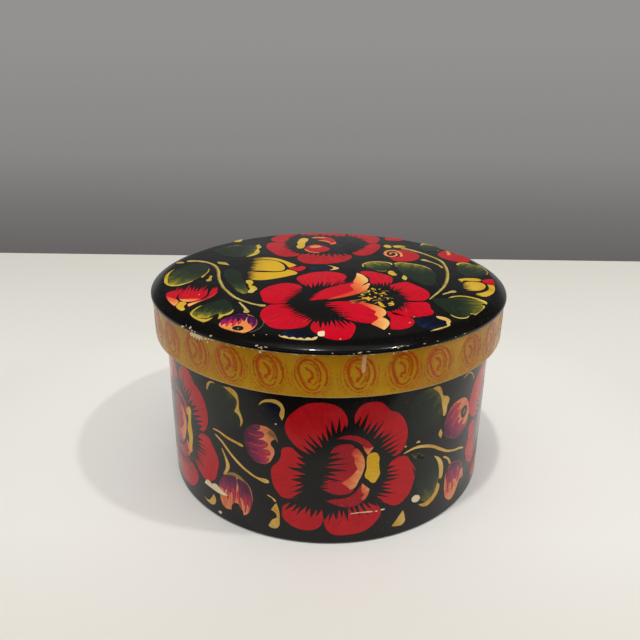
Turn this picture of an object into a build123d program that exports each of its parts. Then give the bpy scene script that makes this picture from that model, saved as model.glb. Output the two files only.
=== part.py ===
"""Round lidded trinket box of painted and lacquered wood.

The box is four glued-up pieces of limewood: a turned ring with a board let into its
foot, and a lid made of a second, wider ring under a round-edged board. The lid has no
hinge or catch. Its ring slips down over the outside of the body, and its board comes to
rest on the body's rim.

Millimetres, +Z up. The origin is the middle of the circle that the box stands on.
"""

import os

from build123d import *

# Body ring
BODY_DIAMETER = 149.2  # outside, under the lid
BODY_WALL = 5.0
BODY_HEIGHT = 85.2  # foot to rim
FOOT_ROUND = 1.1  # outer edge that meets the table
RIM_ROUND = 0.9  # both edges of the rim under the lid

# Base board
BASE_THICKNESS = 4.4
BASE_RECESS = 1.0  # the board's underside lies this far above the foot
BASE_LEDGE = 2.2  # how far the board runs in under the wall's ledge
BASE_EDGE_BREAK = 0.4

# Lid ring
LID_CLEARANCE = 0.45  # all round, between the lid ring and the body
LID_RING_WALL = 4.1
SKIRT_BELOW_RIM = 15.4  # how far the lid ring reaches down past the body's rim
SKIRT_ROUND = 0.7  # outer bottom edge
LEAD_IN = 0.8  # chamfer inside the bottom edge, so that the lid finds the body

# Lid board
BOARD_OVERHANG = 0.7  # the board's edge stands this far outside the lid ring
BOARD_EDGE = 3.9  # height of the board's visible edge
BOARD_ROUND = 3.2  # round on its top edge
BOARD_LOWER_ROUND = 0.4
SPIGOT_DEPTH = 2.0  # the step under the board that locates the lid ring

GLUE_LINE = 0.08  # between curved glued faces

# Places that follow from the sizes above
body_radius = BODY_DIAMETER / 2
body_bore = body_radius - BODY_WALL
base_rebate = body_bore + BASE_LEDGE
base_top = BASE_RECESS + BASE_THICKNESS
lid_bore = body_radius + LID_CLEARANCE
lid_ring_radius = lid_bore + LID_RING_WALL
board_radius = lid_ring_radius + BOARD_OVERHANG
skirt_bottom = BODY_HEIGHT - SKIRT_BELOW_RIM
lid_ring_top = BODY_HEIGHT + SPIGOT_DEPTH
lid_ring_height = lid_ring_top - skirt_bottom


def make_body_ring():
    """Turned wall of the box, with a rebate in its foot for the base board."""
    with BuildPart() as ring:
        with BuildSketch():
            Circle(body_radius)
            Circle(body_bore, mode=Mode.SUBTRACT)
        extrude(amount=BODY_HEIGHT)
        with BuildSketch():
            Circle(base_rebate)
        extrude(amount=base_top, mode=Mode.SUBTRACT)
        foot_edge = ring.edges().group_by(Axis.Z)[0].sort_by(SortBy.RADIUS)[-1]
        fillet(foot_edge, FOOT_ROUND)
        fillet(ring.edges().group_by(Axis.Z)[-1], RIM_ROUND)
    ring.part.label = "body_ring"
    return ring.part


def make_base_board():
    """Flat round board glued up into the foot of the body ring, clear of the table."""
    with BuildPart() as board:
        with BuildSketch(Plane.XY.offset(BASE_RECESS)):
            Circle(base_rebate - GLUE_LINE)
        extrude(amount=BASE_THICKNESS)
        chamfer(board.edges().group_by(Axis.Z)[0], BASE_EDGE_BREAK)
    board.part.label = "base_board"
    return board.part


def make_lid_ring():
    """Turned band of the lid, which slips down over the outside of the body."""
    with BuildPart() as ring:
        with BuildSketch(Plane.XY.offset(skirt_bottom)):
            Circle(lid_ring_radius)
            Circle(lid_bore, mode=Mode.SUBTRACT)
        extrude(amount=lid_ring_height)
        bottom_edges = ring.edges().group_by(Axis.Z)[0].sort_by(SortBy.RADIUS)
        chamfer(bottom_edges[0], LEAD_IN)
        fillet(bottom_edges[-1], SKIRT_ROUND)
    ring.part.label = "lid_ring"
    return ring.part


def make_lid_board():
    """Round-edged top of the lid, with a shallow spigot that fits inside the lid ring."""
    with BuildPart() as board:
        with BuildSketch(Plane.XY.offset(lid_ring_top)):
            Circle(board_radius)
        extrude(amount=BOARD_EDGE)
        fillet(board.edges().group_by(Axis.Z)[-1], BOARD_ROUND)
        fillet(board.edges().group_by(Axis.Z)[0], BOARD_LOWER_ROUND)
        with BuildSketch(Plane.XY.offset(BODY_HEIGHT)):
            Circle(lid_bore - GLUE_LINE)
        extrude(amount=SPIGOT_DEPTH)
    board.part.label = "lid_board"
    return board.part


os.makedirs("parts", exist_ok=True)
for piece in (make_body_ring(), make_base_board(), make_lid_ring(), make_lid_board()):
    export_step(piece, f"parts/{piece.label}.step")
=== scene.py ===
import bpy
import bmesh
import math
import random
from mathutils import Matrix, Vector


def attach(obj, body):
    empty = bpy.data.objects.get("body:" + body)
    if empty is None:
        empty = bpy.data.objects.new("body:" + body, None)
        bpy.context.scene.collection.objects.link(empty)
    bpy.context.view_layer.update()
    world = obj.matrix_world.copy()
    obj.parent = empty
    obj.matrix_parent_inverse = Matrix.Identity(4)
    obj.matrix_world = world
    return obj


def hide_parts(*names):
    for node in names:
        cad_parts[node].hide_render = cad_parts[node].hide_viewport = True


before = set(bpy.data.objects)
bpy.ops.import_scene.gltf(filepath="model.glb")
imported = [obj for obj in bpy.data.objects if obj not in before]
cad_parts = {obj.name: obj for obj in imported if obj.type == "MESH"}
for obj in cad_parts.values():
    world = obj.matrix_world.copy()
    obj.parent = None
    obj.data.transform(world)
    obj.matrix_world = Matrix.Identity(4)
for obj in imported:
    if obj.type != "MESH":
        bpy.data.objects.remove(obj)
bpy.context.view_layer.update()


# The wall of the box. A ring turned from pale limewood, sized and built up outside in coats of
# black lacquer that are rubbed down and polished. Inside it has one thin dull black coat, and
# the lid has worn the paint off the edges of the rim.
MM = 0.001
BODY_RADIUS = 74.52
BODY_BORE = 69.6
FOOT_Z = 0.0
FOOT_ROUND = 1.1
RIM_Z = 85.2
RIM_ROUND = 0.9
LEDGE_Z = 5.4
LEDGE_RADIUS = 71.8
WALL_SHEEN = 0.28
TURN_STEPS = 320
ROUND_STEPS = 6
SHARP_EDGE = math.radians(40)
WELD = 0.000001


def turned(name, corners, rounds, paint):
    """Spins an outline of (radius, height) corners round the axis and rounds its edges."""
    bm = bmesh.new()
    outline = [bm.verts.new((r * MM, 0, z * MM)) for r, z in corners]
    pairs = list(zip(outline, outline[1:]))
    if corners[0][0] > 0:
        pairs.append((outline[-1], outline[0]))
    edges = [bm.edges.new(pair) for pair in pairs]
    bmesh.ops.spin(bm, geom=outline + edges, cent=(0, 0, 0), axis=(0, 0, 1), dvec=(0, 0, 0),
                   angle=math.tau, steps=TURN_STEPS, use_merge=True, use_duplicate=False)
    bmesh.ops.remove_doubles(bm, verts=bm.verts, dist=WELD)
    for (r, z), size in rounds:
        ring = [e for e in bm.edges
                if all(abs(math.hypot(v.co.x, v.co.y) - r * MM) < 2 * WELD
                       and abs(v.co.z - z * MM) < 2 * WELD for v in e.verts)]
        bmesh.ops.bevel(bm, geom=ring, offset=size * MM, offset_type="OFFSET", segments=ROUND_STEPS,
                        profile=0.5, affect="EDGES", material=-1)
    bmesh.ops.recalc_face_normals(bm, faces=bm.faces)
    for face in bm.faces:
        face.smooth = True
    for edge in bm.edges:
        edge.smooth = edge.calc_face_angle(0) < SHARP_EDGE
    return placed(name, bm, paint, even=True)


def placed(name, bm, paint, even=False):
    """Turns a finished bmesh into an object with its place in its mesh."""
    mesh = bpy.data.meshes.new(name)
    bm.to_mesh(mesh)
    bm.free()
    mesh.materials.append(paint)
    piece = bpy.data.objects.new(name, mesh)
    bpy.context.scene.collection.objects.link(piece)
    if even:
        piece.modifiers.new("even_shading", "WEIGHTED_NORMAL").keep_sharp = True
    return piece


def colour(r, g, b):
    """A paint's colour, given as the eight-bit numbers of a paint card."""
    steps = [c / 255 for c in (r, g, b)]
    return tuple(c / 12.92 if c < 0.04045 else ((c + 0.055) / 1.055) ** 2.4 for c in steps) + (1,)


def put(tree, kind, sockets=None, **settings):
    """Adds one shader node, with its settings and with a value or a link on each socket named."""
    made = tree.nodes.new(kind)
    for name, value in settings.items():
        setattr(made, name, value)
    for name, value in (sockets or {}).items():
        if isinstance(value, bpy.types.NodeSocket):
            tree.links.new(value, made.inputs[name])
        else:
            made.inputs[name].default_value = value
    return made


def sum_of(tree, how, a, b=0.0, c=0.0):
    """A Math node's result."""
    return put(tree, "ShaderNodeMath", {0: a, 1: b, 2: c}, operation=how).outputs[0]


def blend_of(tree, share, a, b):
    """Colour a where share is 0, and b where it is 1."""
    return put(tree, "ShaderNodeMix", {0: share, 6: a, 7: b}, data_type="RGBA").outputs[2]


def ramp_of(tree, value, low, high, start=0.0, end=1.0):
    """Stretches the part of value between low and high to start..end."""
    return put(tree, "ShaderNodeMapRange", {"Value": value, "From Min": low, "From Max": high,
                                            "To Min": start, "To Max": end}).outputs[0]


def between(tree, measure, start, end, low=0.0, high=1.0):
    """Goes from low to high while a height or a radius goes from start to end, in millimetres."""
    return ramp_of(tree, measure, start * MM, end * MM, low, high)


def noise_of(tree, place, scale, detail=2.0, rough=0.5):
    """A Noise node's value."""
    return put(tree, "ShaderNodeTexNoise", {"Vector": place, "Scale": scale, "Detail": detail,
                                            "Roughness": rough}).outputs[0]


def stretched(tree, place, size, turn=(0, 0, 0)):
    """The same place, turned and squeezed, for streaks and hairlines."""
    return put(tree, "ShaderNodeMapping", {"Vector": place, "Rotation": turn,
                                           "Scale": size}).outputs[0]


def new_group(name, takes, gives):
    """An empty shader node group with named sockets, and its first and last node."""
    group = bpy.data.node_groups.new(name, "ShaderNodeTree")
    for label, kind in takes:
        group.interface.new_socket(label, in_out="INPUT", socket_type=kind)
    for label, kind in gives:
        group.interface.new_socket(label, in_out="OUTPUT", socket_type=kind)
    first = group.nodes.new("NodeGroupInput").outputs
    last = group.nodes.new("NodeGroupOutput").inputs
    return group, first, last


def polish_group():
    """What use leaves on polished lacquer: soft waves, rubbed patches, dust and hairlines."""
    group, first, last = new_group(
        "polish", [("Wear", "NodeSocketFloat")],
        [("Height", "NodeSocketFloat"), ("Dull", "NodeSocketFloat"),
         ("Specks", "NodeSocketFloat"), ("Hairlines", "NodeSocketFloat")])
    place = put(group, "ShaderNodeTexCoord").outputs["Object"]
    waves = noise_of(group, place, 95, 1.0)
    peel = noise_of(group, place, 700, 1.0)
    group.links.new(sum_of(group, "MULTIPLY_ADD", peel, 0.16, waves), last["Height"])
    cloud = noise_of(group, place, 42, 5.0, 0.65)
    group.links.new(sum_of(group, "MULTIPLY", ramp_of(group, cloud, 0.42, 0.72), first["Wear"]),
                    last["Dull"])
    dots = noise_of(group, place, 2100, 1.0)
    where = noise_of(group, place, 60, 2.0)
    group.links.new(sum_of(group, "MULTIPLY", ramp_of(group, dots, 0.72, 0.76),
                           ramp_of(group, where, 0.5, 0.62)), last["Specks"])
    lines = 0.0
    for turn, size in ((0.5, 1500), (-0.9, 1300), (1.9, 1700)):
        along = stretched(group, place, (1, 0.025, 0.25), (0, 0, turn))
        line = ramp_of(group, noise_of(group, along, size, 0.0), 0.81, 0.85)
        lines = sum_of(group, "MAXIMUM", line, lines)
    some = ramp_of(group, noise_of(group, place, 75, 1.0), 0.5, 0.6)
    group.links.new(sum_of(group, "MULTIPLY", lines, some), last["Hairlines"])
    return group


POLISH = polish_group()


def lacquered(name, coat_under, roughness=0.13, wear=0.22, waves=0.00004, sheen=0.12):
    """A lacquered finish. coat_under adds the coat below it, and gives that coat's colour and relief."""
    paint = bpy.data.materials.new(name)
    paint.use_nodes = True
    tree = paint.node_tree
    shader = tree.nodes["Principled BSDF"]
    polish = put(tree, "ShaderNodeGroup", node_tree=POLISH)
    polish.inputs["Wear"].default_value = wear
    under, relief = coat_under(tree)
    dust = sum_of(tree, "MULTIPLY", polish.outputs["Specks"], 0.16)
    scratches = sum_of(tree, "MULTIPLY", polish.outputs["Hairlines"], 0.05)
    dusty = blend_of(tree, dust, under, colour(196, 184, 160))
    scratched = blend_of(tree, scratches, dusty, colour(190, 178, 156))
    tree.links.new(scratched, shader.inputs["Base Color"])
    rubbed = sum_of(tree, "ADD", polish.outputs["Dull"], roughness)
    tree.links.new(rubbed, shader.inputs["Roughness"])
    height = sum_of(tree, "MULTIPLY_ADD", relief, 0.35, polish.outputs["Height"])
    bump = put(tree, "ShaderNodeBump", {"Height": height, "Strength": 1.0, "Distance": waves})
    tree.links.new(bump.outputs[0], shader.inputs["Normal"])
    shader.inputs["IOR"].default_value = 1.5
    shader.inputs["Specular IOR Level"].default_value = sheen
    return paint


def object_place(tree):
    """The place on the object, in metres."""
    return put(tree, "ShaderNodeTexCoord").outputs["Object"]


def height_and_radius(tree):
    """Height above the table, and distance from the box's axis, in metres."""
    split = put(tree, "ShaderNodeSeparateXYZ", {0: object_place(tree)}).outputs
    flat = put(tree, "ShaderNodeCombineXYZ", {0: split[0], 1: split[1]}).outputs[0]
    return split[2], put(tree, "ShaderNodeVectorMath", {0: flat}, operation="LENGTH").outputs[1]


def black_coat(tree, place):
    """Black lacquer, a little brown where it is thin and blue-black where it is thick."""
    cloud = noise_of(tree, place, 55, 3.0, 0.6)
    base = blend_of(tree, ramp_of(tree, cloud, 0.35, 0.65), colour(11, 11, 13), colour(19, 16, 12))
    tint = noise_of(tree, place, 21, 1.0)
    return blend_of(tree, ramp_of(tree, tint, 0.55, 0.75, 0.0, 0.7), base, colour(9, 16, 14))


def dull_black(tree, place):
    """One thin dull black coat, and the clouds in which it lies thick and thin."""
    cloud = noise_of(tree, place, 60, 4.0, 0.7)
    coat = blend_of(tree, ramp_of(tree, cloud, 0.35, 0.7), colour(30, 25, 22), colour(44, 36, 29))
    return coat, cloud


def bare_wood(tree, place, along=(1, 1, 0.06)):
    """Pale limewood with its fine short fleck."""
    grain = noise_of(tree, stretched(tree, place, along), 900, 3.0, 0.6)
    fleck = noise_of(tree, stretched(tree, place, along), 2600, 1.0)
    wood = blend_of(tree, ramp_of(tree, grain, 0.3, 0.7), colour(206, 172, 122), colour(176, 138, 92))
    return blend_of(tree, ramp_of(tree, fleck, 0.6, 0.75, 0.0, 0.5), wood, colour(140, 104, 68))


def wall_paint(tree):
    """Polished black outside, thin dull black inside, and rubbed wood along the rim and the foot."""
    place = object_place(tree)
    z, radius = height_and_radius(tree)
    outside = black_coat(tree, place)
    inside, _ = dull_black(tree, place)
    base = blend_of(tree, between(tree, radius, 72.5, 73.5), inside, outside)
    ragged = noise_of(tree, place, 330, 4.0, 0.7)
    rim = sum_of(tree, "MULTIPLY_ADD", ragged, 1.1, between(tree, z, RIM_Z - 1.6, RIM_Z))
    foot = sum_of(tree, "MULTIPLY_ADD", noise_of(tree, place, 190, 3.0), 0.9,
                  between(tree, z, FOOT_Z + 1.2, FOOT_Z, 0.0, 0.8))
    worn = sum_of(tree, "MAXIMUM", ramp_of(tree, rim, 1.36, 1.44), ramp_of(tree, foot, 1.26, 1.34))
    return blend_of(tree, worn, base, bare_wood(tree, place)), worn


body_wall = turned("body_wall",
                   [(BODY_RADIUS, FOOT_Z), (BODY_RADIUS, RIM_Z), (BODY_BORE, RIM_Z),
                    (BODY_BORE, LEDGE_Z + 0.05), (LEDGE_RADIUS, LEDGE_Z), (LEDGE_RADIUS, FOOT_Z)],
                   [((BODY_RADIUS, FOOT_Z), FOOT_ROUND), ((BODY_RADIUS, RIM_Z), RIM_ROUND),
                    ((BODY_BORE, RIM_Z), RIM_ROUND)],
                   lacquered("black_lacquer_wall", wall_paint, roughness=0.12, sheen=WALL_SHEEN))
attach(body_wall, "body")
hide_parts("body_ring")


# The board that closes the foot. Sawn limewood, planed and let into the wall's rebate with glue.
# Its top has the same dull black coat as the inside of the wall, and its underside is bare.
BOARD_RADIUS = 71.7
BOARD_LOW = 1.0
BOARD_TOP = 5.38
BOARD_ROUND = 0.4


def board_paint(tree):
    """Bare grain below, dull black with scuffs and a few worn-through spots above."""
    place = object_place(tree)
    z, _ = height_and_radius(tree)
    rings = stretched(tree, place, (14, 1, 14), (0, 0, 0.4))
    grain = noise_of(tree, rings, 60, 4.0, 0.6)
    fleck = noise_of(tree, stretched(tree, place, (1, 0.05, 1), (0, 0, 0.4)), 2400, 2.0)
    wood = blend_of(tree, ramp_of(tree, grain, 0.3, 0.7), colour(208, 176, 128), colour(178, 140, 94))
    wood = blend_of(tree, ramp_of(tree, fleck, 0.58, 0.72, 0.0, 0.5), wood, colour(142, 106, 70))
    cloud = noise_of(tree, place, 48, 4.0, 0.7)
    black = blend_of(tree, ramp_of(tree, cloud, 0.35, 0.7), colour(30, 25, 22), colour(45, 37, 30))
    spots = ramp_of(tree, noise_of(tree, place, 260, 4.0, 0.7), 0.7, 0.73)
    black = blend_of(tree, spots, black, colour(120, 92, 62))
    return blend_of(tree, between(tree, z, 4.2, 4.8), wood, black), grain


foot_board = turned("foot_board",
                    [(0, BOARD_LOW), (BOARD_RADIUS, BOARD_LOW), (BOARD_RADIUS, BOARD_TOP),
                     (0, BOARD_TOP)],
                    [((BOARD_RADIUS, BOARD_LOW), BOARD_ROUND)],
                    lacquered("board_finish", board_paint, roughness=0.42, wear=0.2, waves=0.00006))
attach(foot_board, "body")
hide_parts("base_board")


# The big poppies round the wall. Each is laid in with a flat brush of crimson glaze over a warm
# ground, then the black background is combed back into the petals with fine strokes round the
# dark heart. The inner cup is edged in bare peach ground and holds one yellow pistil.
WALL_FLAT = 74.6
POPPY_AT = {"front": 5.5, "right": 75.2, "rear_right": 150.2, "rear_left": 225.2, "left": 300.2}
COAT = 0.02
SKIRT = 0.05
CURVE_STEPS = 7


def filled(points):
    """Fills one painted shape, in millimetres. A point with a third number is a sharp corner."""
    curve = bpy.data.curves.new("shape", "CURVE")
    curve.dimensions = "2D"
    curve.fill_mode = "BOTH"
    curve.resolution_u = CURVE_STEPS
    spline = curve.splines.new("BEZIER")
    spline.bezier_points.add(len(points) - 1)
    for knot, point in zip(spline.bezier_points, points):
        knot.co = (point[0], point[1], 0)
        knot.handle_left_type = knot.handle_right_type = "VECTOR" if len(point) > 2 else "AUTO"
    spline.use_cyclic_u = True
    drawing = bpy.data.objects.new("shape", curve)
    flat = bpy.data.meshes.new_from_object(drawing)
    bm = bmesh.new()
    bm.from_mesh(flat)
    bpy.data.objects.remove(drawing)
    bpy.data.curves.remove(curve)
    bpy.data.meshes.remove(flat)
    bmesh.ops.remove_doubles(bm, verts=bm.verts, dist=1e-4)
    return bm


def cut_in_strips(bm, strip):
    """Cuts a flat shape into strips, so that it can follow a round surface."""
    low = min(v.co.x for v in bm.verts)
    high = max(v.co.x for v in bm.verts)
    for cut in range(math.ceil(low / strip), math.floor(high / strip) + 1):
        bmesh.ops.bisect_plane(bm, geom=bm.verts[:] + bm.edges[:] + bm.faces[:], dist=1e-5,
                               plane_co=(cut * strip, 0, 0), plane_no=(1, 0, 0))


def add_skirt(bm):
    """Makes a flat shape a closed one. Its face rises to 1, and its back stays at 0."""
    grown = bmesh.ops.extrude_face_region(bm, geom=bm.faces[:], use_keep_orig=True)["geom"]
    for part in grown:
        if isinstance(part, bmesh.types.BMVert):
            part.co.z = 1
    bmesh.ops.recalc_face_normals(bm, faces=bm.faces)


def add_maps(bm, heart, fade):
    """The map called flat holds centimetres from the heart, and fade runs 0 to 1 along the shape."""
    flat_map = bm.loops.layers.uv.new("flat")
    fade_map = bm.loops.layers.uv.new("fade")
    x0, y0, x1, y1 = fade
    span = (x1 - x0) ** 2 + (y1 - y0) ** 2
    for face in bm.faces:
        face.smooth = face.normal.z > 0.5
        for loop in face.loops:
            x, y = loop.vert.co.x, loop.vert.co.y
            loop[flat_map].uv = ((x - heart[0]) / 10, (y - heart[1]) / 10)
            loop[fade_map].uv = (((x - x0) * (x1 - x0) + (y - y0) * (y1 - y0)) / span,
                                 ((x - x0) * (y0 - y1) + (y - y0) * (x1 - x0)) / span)


def round_wall(x, y, lift, radius=BODY_RADIUS, flat=WALL_FLAT):
    """Wraps a flat place round the box. flat is the radius at which the outlines were drawn."""
    turn = x / flat
    reach = (radius + lift) * MM
    return (reach * math.sin(turn), -reach * math.cos(turn), y * MM)


def film(name, shapes, paint, body, level=1, heart=(0, 0), wrap=round_wall, strip=2.0):
    """One coat of paint: filled shapes with a skirt, wrapped on to the surface they lie on, and
    shaded as that surface is. level is its place among the coats, and strip is 0 on a flat one."""
    coat = bmesh.new()
    for points, fade in shapes:
        bm = filled(points)
        if strip:
            cut_in_strips(bm, strip)
        add_skirt(bm)
        add_maps(bm, heart, fade)
        for vert in bm.verts:
            vert.co = wrap(vert.co.x, vert.co.y, level * COAT if vert.co.z > 0.5 else -SKIRT)
        part_mesh = bpy.data.meshes.new("part")
        bm.to_mesh(part_mesh)
        bm.free()
        coat.from_mesh(part_mesh)
        bpy.data.meshes.remove(part_mesh)
    piece = placed(name, coat, paint)
    mesh = piece.data
    turned_out = []
    for face in mesh.polygons:
        for corner in face.vertices:
            at = mesh.vertices[corner].co
            facing = Vector((at.x, at.y, 0)) if strip else Vector((0, 0, 1))
            turned_out.append(facing.normalized() if face.use_smooth else (0, 0, 0))
    mesh.normals_split_custom_set(turned_out)
    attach(piece, body)


def combed(edge, strokes, reach, heart, seed, bow=0.0):
    """A petal: its smooth outer edge, closed by black strokes combed out from the heart. The line
    that the strokes start on is bowed outwards by bow, and reach is a long stroke's length."""
    rng = random.Random(seed)
    (ax, ay), (bx, by) = edge[-1], edge[0]
    points = [(bx, by, 0)] + list(edge[1:-1]) + [(ax, ay, 0)]
    length = math.hypot(bx - ax, by - ay)
    side = ((by - ay) / length, (ax - bx) / length)
    if side[0] * (ax - heart[0]) + side[1] * (ay - heart[1]) < 0:
        side = (-side[0], -side[1])
    steps = 2 * strokes
    for i in range(1, steps):
        t = (i + rng.uniform(-0.3, 0.3)) / steps
        rise = bow * 4 * t * (1 - t)
        x = ax + (bx - ax) * t + side[0] * rise
        y = ay + (by - ay) * t + side[1] * rise
        out = math.hypot(x - heart[0], y - heart[1])
        lean = rng.uniform(-0.1, 0.1)
        dx, dy = (x - heart[0]) / out, (y - heart[1]) / out
        dx, dy = dx - lean * dy, dy + lean * dx
        fall = min(1.0, 0.45 + 5 * t * (1 - t))
        share = rng.uniform(0.45, 1.12) if i % 2 else -rng.uniform(0.04, 0.42)
        far = reach * share * fall
        points.append((x + dx * far, y + dy * far, 0))
    return points, (heart[0], heart[1], (ax + bx) / 2, (ay + by) / 2)


def shape(points, fade=None):
    """A plain painted shape. fade is where its glaze starts thin and where it ends full."""
    xs, ys = [p[0] for p in points], [p[1] for p in points]
    return list(points), fade or (min(xs), min(ys), max(xs), max(ys))


def moved(shapes, dx, dy=0.0, turn=0.0, size=1.0, about=(0, 0)):
    """The same shapes painted again elsewhere, a little turned or larger."""
    c, s = math.cos(turn) * size, math.sin(turn) * size

    def to(x, y):
        u, v = x - about[0], y - about[1]
        return about[0] + dx + c * u - s * v, about[1] + dy + s * u + c * v

    return [([to(p[0], p[1]) + tuple(p[2:]) for p in points], to(*fade[:2]) + to(*fade[2:]))
            for points, fade in shapes]


def brush_group():
    """A loaded flat brush: streaks that run out from the flower's heart, over slow pools of glaze."""
    group, first, last = new_group(
        "brush", [("Deep", "NodeSocketColor"), ("Full", "NodeSocketColor"),
                  ("Thin", "NodeSocketColor"), ("Streaks", "NodeSocketFloat"),
                  ("Pools", "NodeSocketFloat")],
        [("Color", "NodeSocketColor"), ("Height", "NodeSocketFloat")])
    at = put(group, "ShaderNodeUVMap", uv_map="flat").outputs[0]
    split = put(group, "ShaderNodeSeparateXYZ", {0: at}).outputs
    angle = sum_of(group, "ARCTAN2", split[1], split[0])
    out = put(group, "ShaderNodeVectorMath", {0: at}, operation="LENGTH").outputs[1]
    swept = put(group, "ShaderNodeCombineXYZ", {0: sum_of(group, "MULTIPLY", angle, 9.0),
                                                1: sum_of(group, "MULTIPLY", out, 0.55)}).outputs[0]
    hairs = noise_of(group, swept, 1.9, 3.0, 0.55)
    pools = noise_of(group, at, 0.75, 2.0)
    mottle = noise_of(group, at, 5.5, 3.0, 0.6)
    low = sum_of(group, "MULTIPLY", ramp_of(group, hairs, 0.5, 0.28), first["Streaks"])
    high = sum_of(group, "MULTIPLY", ramp_of(group, hairs, 0.56, 0.78), first["Streaks"])
    pooled = sum_of(group, "MULTIPLY", ramp_of(group, pools, 0.45, 0.7), first["Pools"])
    full = blend_of(group, low, first["Full"], first["Deep"])
    light = sum_of(group, "MAXIMUM", high, pooled)
    mixed = blend_of(group, light, full, first["Thin"])
    spotted = blend_of(group, ramp_of(group, mottle, 0.5, 0.72, 0.0, 0.3), mixed, first["Deep"])
    group.links.new(spotted, last["Color"])
    group.links.new(sum_of(group, "MULTIPLY_ADD", mottle, 0.4, hairs), last["Height"])
    return group


BRUSH = brush_group()


def brushed(name, deep, full, thin, streaks, pools, roughness=0.13, sheen=WALL_SHEEN):
    """One brushed colour under the lacquer."""
    def under(tree):
        node = put(tree, "ShaderNodeGroup", node_tree=BRUSH)
        for label, tone in (("Deep", deep), ("Full", full), ("Thin", thin)):
            node.inputs[label].default_value = colour(*tone)
        node.inputs["Streaks"].default_value = streaks
        node.inputs["Pools"].default_value = pools
        return node.outputs["Color"], node.outputs["Height"]

    return lacquered(name, under, roughness=roughness, sheen=sheen)


def fading_group():
    """Glaze that thins out over the warm ground, from bare ground at fade 0 to full at fade 1."""
    group, first, last = new_group(
        "fading", [("Ground", "NodeSocketColor"), ("Half", "NodeSocketColor"),
                   ("Full", "NodeSocketColor"), ("Dark", "NodeSocketColor"),
                   ("Across", "NodeSocketFloat"), ("Ragged", "NodeSocketFloat")],
        [("Color", "NodeSocketColor"), ("Height", "NodeSocketFloat")])
    fade = put(group, "ShaderNodeUVMap", uv_map="fade").outputs[0]
    at = put(group, "ShaderNodeUVMap", uv_map="flat").outputs[0]
    split = put(group, "ShaderNodeSeparateXYZ", {0: fade}).outputs
    lanes = put(group, "ShaderNodeCombineXYZ",
                {0: sum_of(group, "MULTIPLY", split[0], 1.4),
                 1: sum_of(group, "MULTIPLY", split[1], first["Across"])}).outputs[0]
    streaks = noise_of(group, lanes, 1.0, 3.0, 0.6)
    cloud = noise_of(group, at, 3.2, 3.0, 0.6)
    pull = sum_of(group, "MULTIPLY", sum_of(group, "SUBTRACT", streaks, 0.5), first["Ragged"])
    drift = sum_of(group, "MULTIPLY_ADD", sum_of(group, "SUBTRACT", cloud, 0.5), 0.35, pull)
    depth = sum_of(group, "ADD", split[0], drift)
    thin = blend_of(group, ramp_of(group, depth, 0.1, 0.32), first["Ground"], first["Half"])
    full = blend_of(group, ramp_of(group, depth, 0.34, 0.6), thin, first["Full"])
    dark = blend_of(group, ramp_of(group, depth, 0.62, 1.0), full, first["Dark"])
    group.links.new(dark, last["Color"])
    group.links.new(streaks, last["Height"])
    return group


FADING = fading_group()


def glazed(name, ground, half, full, dark, across=5.0, ragged=0.6, sheen=WALL_SHEEN):
    """A glaze that fades along each shape."""
    def under(tree):
        node = put(tree, "ShaderNodeGroup", node_tree=FADING)
        for label, tone in (("Ground", ground), ("Half", half), ("Full", full), ("Dark", dark)):
            node.inputs[label].default_value = colour(*tone)
        node.inputs["Across"].default_value = across
        node.inputs["Ragged"].default_value = ragged
        return node.outputs["Color"], node.outputs["Height"]

    return lacquered(name, under, sheen=sheen)


CRIMSON = brushed("crimson_glaze", (146, 0, 12), (194, 0, 18), (206, 6, 30), 0.5, 0.55)
CUP_CRIMSON = brushed("cup_glaze", (122, 0, 18), (166, 2, 26), (196, 16, 36), 0.7, 0.5)
PEACH = glazed("peach_ground", (238, 158, 98), (230, 116, 68), (210, 66, 42), (178, 16, 30), 6.0, 0.7)
STRAW = brushed("straw_paint", (180, 128, 40), (214, 164, 62), (236, 202, 124), 0.8, 0.7)
GOLD = brushed("golden_paint", (204, 142, 4), (226, 174, 24), (232, 194, 70), 0.6, 0.5)

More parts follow.
